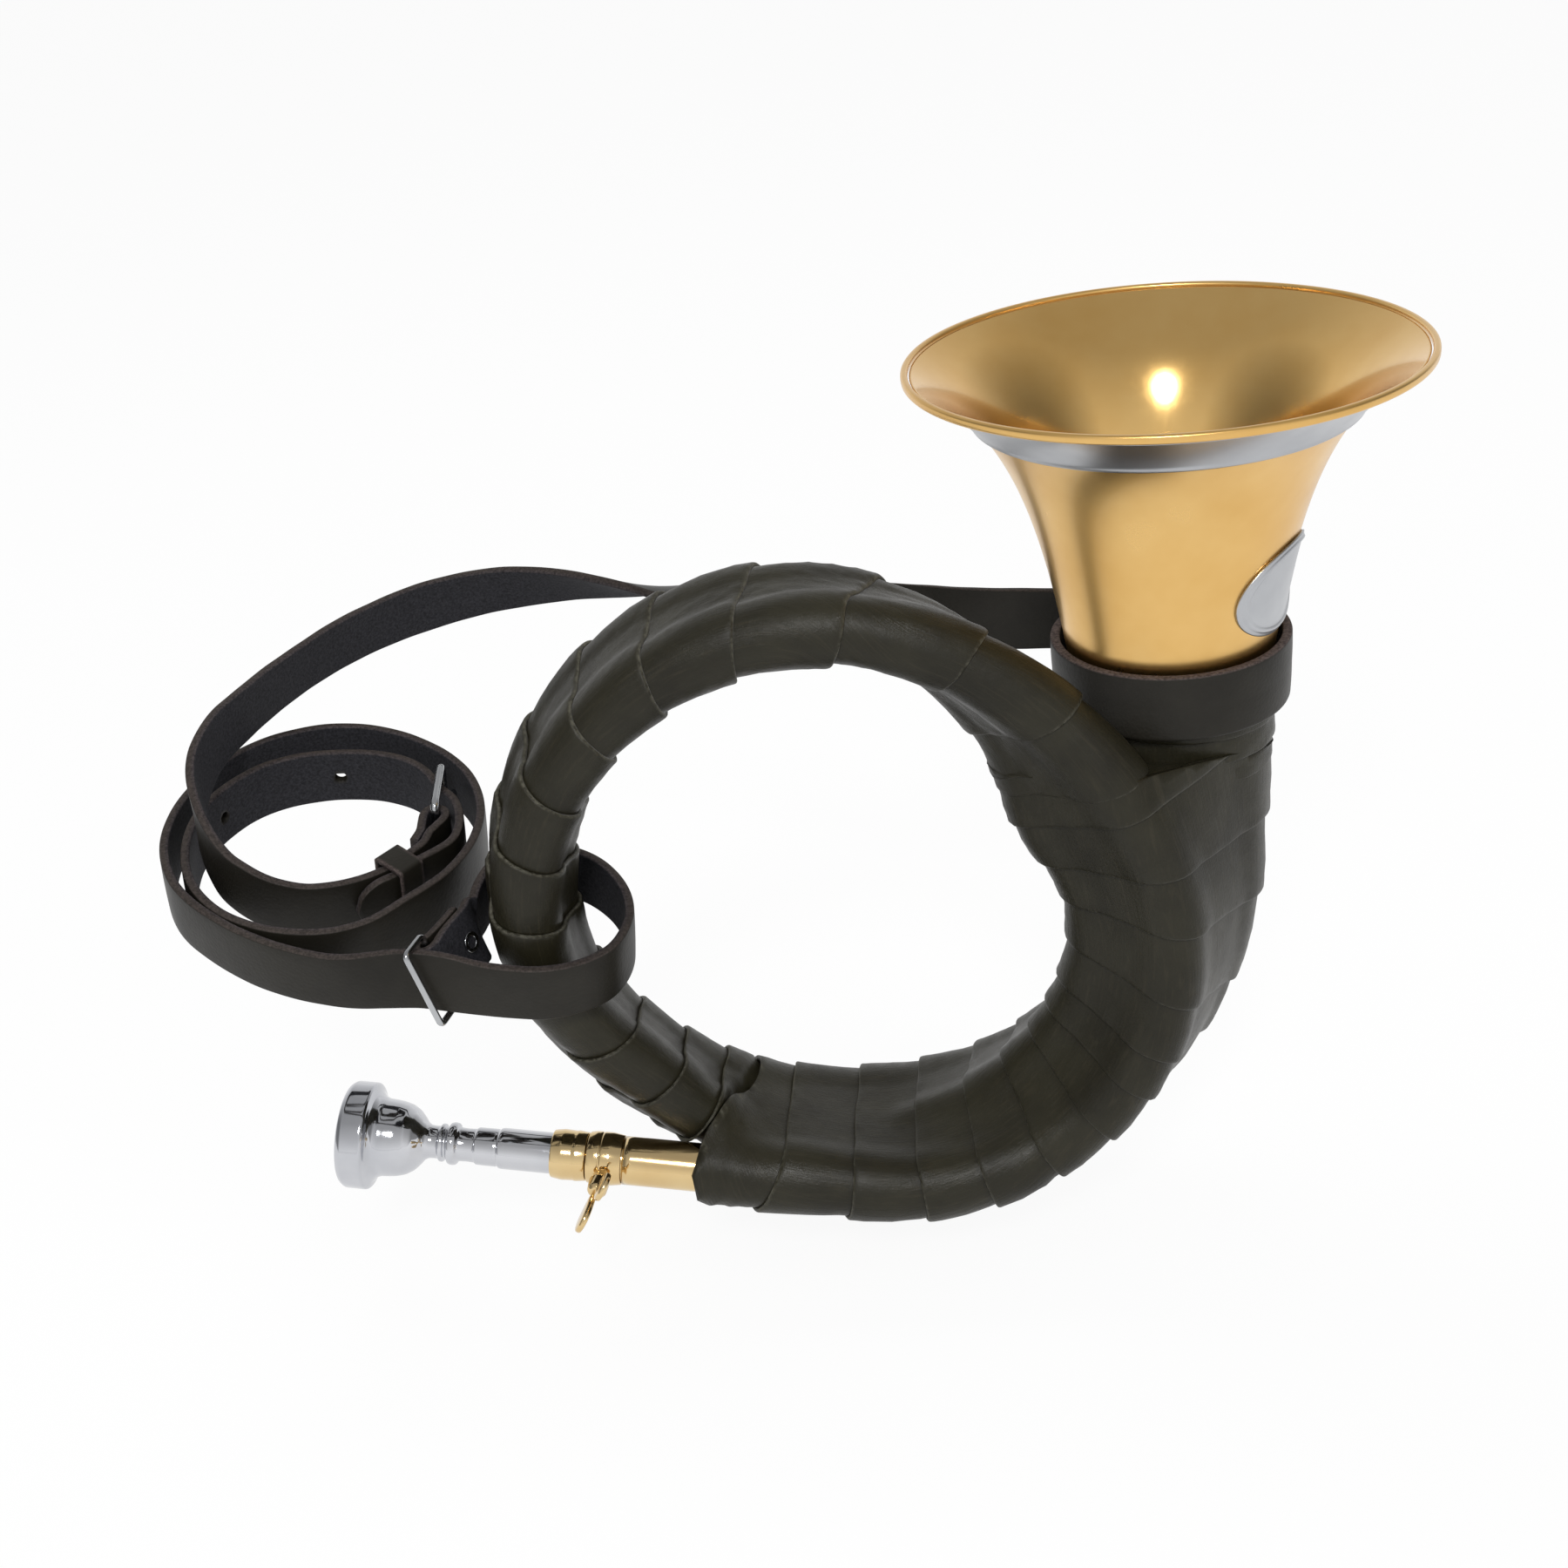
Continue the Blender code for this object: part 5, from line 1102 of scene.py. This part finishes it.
folded = square(np.array([0.50, 0.866, 0.0]), SLIDE_UP)
out = np.cross(folded, SLIDE_UP)
eyelet_place = frame_at(FAR_BAR + folded * 0.0105 + SHIFT, folded, SLIDE_UP, out)
half = STRAP_THICK + 0.0004
flange = [(0.0025, half + 0.0005), (0.0025, half), (0.0018, half)]
eyelet = flange + [(radius, -height) for radius, height in flange[::-1]]
eyelet += [(0.0014, -half - 0.0005), (0.0014, half + 0.0005)]
eyelet = lathe("eyelet_ring", rounded(eyelet, 0.0003), eyelet_place, sides=48)
place(eyelet, "eyelet", NICKEL)

# %% [markdown]
# The keeper is a loop of the same leather round both straps below the buckle: a rounded
# rectangle drawn out for seven millimetres, with raw edges.
# %% Keeper
KEEPER_HALF_LONG, KEEPER_THICK, KEEPER_SOFT = 0.0035, 0.0014, 0.0009
wide, deep = STRAP_WIDE / 2 + 0.0006 - KEEPER_SOFT, STRAP_THICK + 0.0019 - KEEPER_SOFT
corner = np.radians(np.linspace(0, 90, 6))
quarter = np.stack([np.cos(corner), np.sin(corner)], axis=1) * KEEPER_SOFT + [wide, deep]
section = np.concatenate([quarter, quarter[::-1] * [-1, 1], -quarter, quarter[::-1] * [1, -1]])
section[:, 1] -= 0.00135
out = unit(section - section.mean(axis=0))
along = np.linspace(-KEEPER_HALF_LONG, KEEPER_HALF_LONG, 9)
outer, inner = (
    np.stack([np.insert(section + out * grow, 0, x, axis=1) for x in along])
    for grow in (KEEPER_THICK, 0.0))
marks = np.zeros((2 * len(along), len(section)))
marks[[0, 8, 9, 17]] = 1.0
grid = carried(wall_grid(outer, inner), nearest(long_route, loop_point(-106.6, 19.0)))
keeper = grid_piece("keeper_leather", grid, wrap_rows=True, marks={"raw": marks, "suede": 0.0})
place(keeper, "leather_keeper", HARNESS)

# %% [markdown]
# ## The straight end
#
# The lead pipe comes out of the leather and carries a clamp collar with a wing screw. The
# tuning slide runs in it, and its receiver holds the mouthpiece's taper. All are turned about
# one line, so they share one matrix and only their place along the line differs.
# %% Lead pipe, collar and slide
PIPE_END = 0.0613
PIPE_WALL = 0.00035
BORE = LEAD_RADIUS - PIPE_WALL
CLAMP_RADIUS = 0.0066
CLAMP_LOW, CLAMP_HIGH = PIPE_END + 0.0003, PIPE_END + 0.0090
RECEIVER_LONG, SLIDE_LONG = 0.0088, 0.0475
SLIDE_OUTSIDE, SLIDE_INSIDE = BORE - 0.0003, BORE - 0.0007
SHANK_MOUTH = 0.0051  # the mouthpiece shank's radius where it enters the receiver

line_turn = Vector(LEAD_OUT).to_track_quat("Z", "Y").to_matrix().to_4x4()
LEAD_LINE = Matrix.Translation(Vector(LEAD_FOOT + SHIFT)) @ line_turn
straight = LEAD_FOOT + LEAD_OUT * np.linspace(PIPE_END, 0.002, 30)[:, None]
line = np.concatenate([straight, strand_points(np.linspace(-90.0, LEAD_END_TURN - 0.1, 24))])
outer, inner = (tube_grid(line, 64, radius, DEPTHWISE) for radius in (LEAD_RADIUS, BORE))
pipe = grid_piece("lead_tube", wall_grid(outer, inner) + SHIFT, wrap_rows=True)
place(pipe, "lead_pipe", PALE_BRASS)

clamp = [(0.0063, CLAMP_HIGH), (CLAMP_RADIUS, CLAMP_HIGH - 0.0017),
         (CLAMP_RADIUS, CLAMP_HIGH - 0.0030), (0.00635, CLAMP_HIGH - 0.0033),
         (CLAMP_RADIUS, CLAMP_HIGH - 0.0036), (CLAMP_RADIUS, CLAMP_LOW + 0.0030),
         (0.0061, CLAMP_LOW), (BORE, CLAMP_LOW), (BORE, CLAMP_HIGH)]
place(lathe("clamp_ring", rounded(clamp, 0.0003), LEAD_LINE, sides=96), "clamp_collar", PALE_BRASS)

mouth = CLAMP_HIGH + 0.0003 + RECEIVER_LONG
receiver = [(0.0059, 0.0), (0.0063, 0.0026), (0.00615, 0.0055), (0.0063, 0.0062),
            (0.0060, RECEIVER_LONG), (SLIDE_OUTSIDE, RECEIVER_LONG), (SLIDE_OUTSIDE, SLIDE_LONG),
            (SLIDE_INSIDE, SLIDE_LONG), (SLIDE_INSIDE, RECEIVER_LONG),
            (SHANK_MOUTH + 0.0003, 0.0)]
receiver = rounded([(radius, mouth - below) for radius, below in receiver], 0.0004)
place(lathe("receiver_slide", receiver, LEAD_LINE, sides=96), "tuning_slide", PALE_BRASS, "slide")

# %% [markdown]
# The mouthpiece is a trumpet type: a broad band round the rim, a rounded cup, then a shank with
# a bead and two steps. The cup's inside runs down to a narrow throat. Its profile is listed from
# the rim outwards and back through the bore, in millimetres.
# %% Mouthpiece
RIM_OUT = 0.0527  # the rim's distance from the receiver's mouth
outside = [(10.9, 0.0), (12.5, -0.35), (13.35, -1.6), (13.35, -6.6), (12.9, -7.1), (11.4, -7.6),
           (10.2, -8.7), (9.7, -9.9), (9.6, -11.6), (9.35, -13.8), (8.75, -16.0), (7.6, -17.9),
           (6.0, -19.4), (4.7, -20.4), (4.15, -21.4), (4.05, -22.6), (4.1, -23.8), (4.75, -24.2),
           (4.75, -25.0), (4.15, -25.5), (4.2, -26.0), (5.15, -26.4), (5.35, -27.4),
           (5.15, -28.4), (4.2, -28.9), (4.1, -31.0), (4.2, -33.0), (4.65, -33.5), (4.7, -38.4),
           (4.55, -38.9), (4.95, -39.3), (5.1, -40.0), (5.1, -52.7), (4.5, -75.7)]
inside = [(3.9, -75.7), (1.85, -23.5), (1.85, -12.5), (3.2, -11.0), (5.4, -8.6), (7.0, -6.0),
          (7.9, -3.6), (8.3, -1.5), (8.7, -0.6), (9.5, -0.1)]
profile = rounded(np.array(outside + inside) / 1000, 0.0005, 3)
cup_place = LEAD_LINE @ Matrix.Translation((0, 0, mouth + RIM_OUT))
cup = lathe("mouthpiece_silver", profile, cup_place, sides=160)
place(cup, "mouthpiece", SILVER, "mouthpiece")

# %% [markdown]
# The wing screw: a stem with a rounded hub, and two cast ears. An ear is a flat drop shape whose
# edge is rounded over; each ring of its grid is the outline drawn in or pushed sideways.
# %% Wing screw
HUB = CLAMP_RADIUS + 0.0028  # the hub's foot, from the lead pipe's middle
EAR_REACH, EAR_RADIUS = 0.0089, 0.0036
EAR_LEAN = math.radians(50)

screw_place = (LEAD_LINE @ Matrix.Translation((0, 0, (CLAMP_LOW + CLAMP_HIGH) / 2))
               @ Matrix.Rotation(math.pi / 2, 4, "Y") @ Matrix.Rotation(math.radians(65.0), 4, "Z"))
stem = [(0.0, HUB + 0.0043), (0.0016, HUB + 0.0043), (0.0024, HUB + 0.0034), (0.0026, HUB),
        (0.0016, HUB), (0.0016, BORE + 0.00015), (0.0, BORE + 0.00015)]
stem = lathe("stem", rounded(stem, 0.0004, closed=False), screw_place, sides=48, closed=False)


def ear(side):
    """Outline p(a) = centre + r (cos a, sin a), drawn out to the hub; its edge is a half oval."""
    a = np.arange(48) * math.tau / 48
    centre = EAR_REACH * np.array([math.cos(EAR_LEAN), math.sin(EAR_LEAN)])
    centre += [0.0, HUB + 0.0012]
    ring = np.stack([np.cos(a), np.sin(a)], axis=1)
    back = unit(np.array([0.0012, HUB + 0.0018]) - centre)
    pull = np.clip(ring @ back, 0, 1)[:, None] ** 1.6
    outline = centre + EAR_RADIUS * ring * (1 - 0.55 * pull) + back * (pull * 0.0052)
    middle = outline.mean(axis=0)
    t = np.radians(np.linspace(90, -90, 13))
    share = np.where(np.abs(t) > 1.5, 0.02, 0.30 + 0.70 * np.clip(np.cos(t), 0, 1) ** 0.6)
    dish = 0.0009 * np.sign(t) * np.abs(np.sin(t)) ** 0.5
    flat = middle + (outline - middle)[None] * share[:, None, None]
    dish = np.broadcast_to(dish[:, None], flat.shape[:2])
    return np.stack([side * flat[..., 0], dish, flat[..., 1]], axis=2)


ears = [grid_piece(f"ear_{side}", carried(ear(side), screw_place)) for side in (-1, 1)]
place(joined("wing_screw", [stem, *ears]), "thumb_screw", PALE_BRASS, "thumb_screw")

# %% [markdown]
# Inside the leather lie the coil's tubes, their ferrules and stays. Their shapes are right as the
# model has them, so they keep their meshes and only get the real metals.
# %% Hidden metal
HIDDEN = {BELL_BRASS: ("first_coil_tube", "second_coil_tube"),
          NICKEL: ("lead_ferrule", "coil_ferrule", "bow_ferrule",
                   "stay_bottom", "stay_left", "stay_top")}
for finish, names in HIDDEN.items():
    for piece in (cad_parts[name] for name in names):
        for slot in piece.material_slots:
            slot.material = finish.material
        piece.visible_glossy = False
print("hidden pieces finished:", sum(len(names) for names in HIDDEN.values()))

# %% [markdown]
# ## Floor, light and camera
#
# The floor is a plain pale plane that keeps the horn's shadow and stays white to the camera.
# Polished metal is drawn by what it reflects. For the camera the world is plain white; for every
# other ray it is a studio, white at the horizon and darker overhead and out at the sides, which
# also keeps the light on the horn at a plain level. The floor shows in the metal at 0.72 of its
# white. The upper part of the coil's strip, the hidden tubes and two of the lamps are left out of
# reflections, so that they put no dark or square patch on the bell.
# %% Floor
WHITE = (1.0, 1.0, 1.0, 1.0)
FLOOR_GLOW = 0.93  # the rest of the floor's look is its own shaded surface, which keeps the shadow
FLOOR_IN_METAL = 0.72

low_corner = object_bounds()[0]
grid = np.array([[(x, y, low_corner[2] - 0.004) for y in (-6.0, 6.0)] for x in (-6.0, 6.0)])
floor = grid_piece("floor", grid, wrap_columns=False)
pale = Finish("floor_white", Roughness=0.9, Base_Color=(0.86, 0.86, 0.86, 1.0))
surface = pale.shader.outputs[0]
rays = pale.add("ShaderNodeLightPath").outputs
glow = pale.add("ShaderNodeEmission", {"Color": WHITE, "Strength": 1.0}).outputs[0]
shown = pale.sum(rays["Is Camera Ray"], rays["Is Transmission Ray"], "MAXIMUM")
shown = pale.sum(shown, pale.sum(rays["Is Glossy Ray"], FLOOR_IN_METAL, "MULTIPLY"), "MAXIMUM")
shade = pale.add("ShaderNodeMixShader", {0: FLOOR_GLOW, 1: surface, 2: glow}).outputs[0]
mix = pale.add("ShaderNodeMixShader", {0: shown, 1: surface, 2: shade}).outputs[0]
pale.tree.links.new(mix, pale.tree.nodes["Material Output"].inputs["Surface"])
floor.data.materials.append(pale.material)

# %% Light
OVERHEAD, FAR_ASIDE = 0.44, 0.30  # strengths, against 1 at the horizon

world = bpy.data.worlds.new("studio")
bpy.context.scene.world = world
world.use_nodes = True
tree = world.node_tree
tree.nodes.clear()


def sky(kind, inputs=None, **settings):
    """The first output of a new node in the world."""
    return add_node(tree, kind, inputs, **settings).outputs[0]


rays = add_node(tree, "ShaderNodeLightPath").outputs
where = add_node(tree, "ShaderNodeTexCoord").outputs["Generated"]
axis = add_node(tree, "ShaderNodeSeparateXYZ", {0: where}).outputs
height = sky("ShaderNodeMapRange", map_range(0.0, 0.85, 1.0, OVERHEAD, axis["Z"]))
aside = sky("ShaderNodeMath", {0: axis["X"]}, operation="ABSOLUTE")
wings = sky("ShaderNodeMapRange", map_range(0.60, 0.92, 1.0, FAR_ASIDE, aside))
strength = sky("ShaderNodeMath", {0: height, 1: wings}, operation="MULTIPLY")
studio = sky("ShaderNodeBackground", {"Color": WHITE, "Strength": strength})
white = sky("ShaderNodeBackground", {"Color": WHITE, "Strength": 1.0})
straight = sky("ShaderNodeMath", {0: rays["Is Camera Ray"], 1: rays["Is Transmission Ray"]},
               operation="MAXIMUM")
seen_world = sky("ShaderNodeMixShader", {0: straight, 1: studio, 2: white})
add_node(tree, "ShaderNodeOutputWorld", {"Surface": seen_world})


def lamp(name, at, towards, size, power, mirrored=False):
    """An oval area lamp that looks at a point. Only one that is mirrored shows in the metal."""
    light = bpy.data.lights.new(name, "AREA")
    light.shape = "ELLIPSE"
    light.size, light.size_y = size
    light.energy = power
    holder = bpy.data.objects.new(name, light)
    bpy.context.scene.collection.objects.link(holder)
    holder.location = at
    holder.rotation_euler = (Vector(towards) - Vector(at)).to_track_quat("-Z", "Y").to_euler()
    holder.visible_glossy = mirrored
    print("lamp:", name)


lamp("key", (-0.20, -1.06, 1.05), (-0.06, 0.02, 0.02), (0.28, 0.28), 9.5, mirrored=True)
lamp("fill", (0.95, -0.75, 0.75), (-0.05, 0.02, 0.02), (0.8, 0.9), 5.0)
lamp("top", (-0.35, 0.45, 1.25), (-0.05, 0.02, 0.0), (0.9, 0.5), 6.0)

# %% [markdown]
# The photograph looks slightly down on the horn from the front, and the camera is rolled a few
# degrees. Focal length and place were found by matching the bell's mouth, the coil and the
# mouthpiece to the picture.
# %% Camera
LOOK_DOWN = math.radians(26.97)
ROLL = math.radians(-6.5)
AWAY = 0.4914
TARGET = np.array([-0.010, 0.0, 0.03224]) + SHIFT

looking = np.array([0.0, -math.cos(LOOK_DOWN), math.sin(LOOK_DOWN)])
upward = np.array([0.0, math.sin(LOOK_DOWN), math.cos(LOOK_DOWN)])
right = np.array([1.0, 0.0, 0.0])
camera_right = math.cos(ROLL) * right + math.sin(ROLL) * upward
camera_up = -math.sin(ROLL) * right + math.cos(ROLL) * upward
eye = TARGET + AWAY * looking
lens = bpy.data.cameras.new("camera")
lens.sensor_width = 36.0
lens.lens = 48.8
lens.clip_start = 0.01
camera = bpy.data.objects.new("camera", lens)
bpy.context.scene.collection.objects.link(camera)
camera.matrix_world = frame_at(eye, camera_right, camera_up, looking)
bpy.context.scene.camera = camera
bpy.context.scene.view_settings.view_transform = "Standard"
print("camera at", [round(float(x), 3) for x in eye])
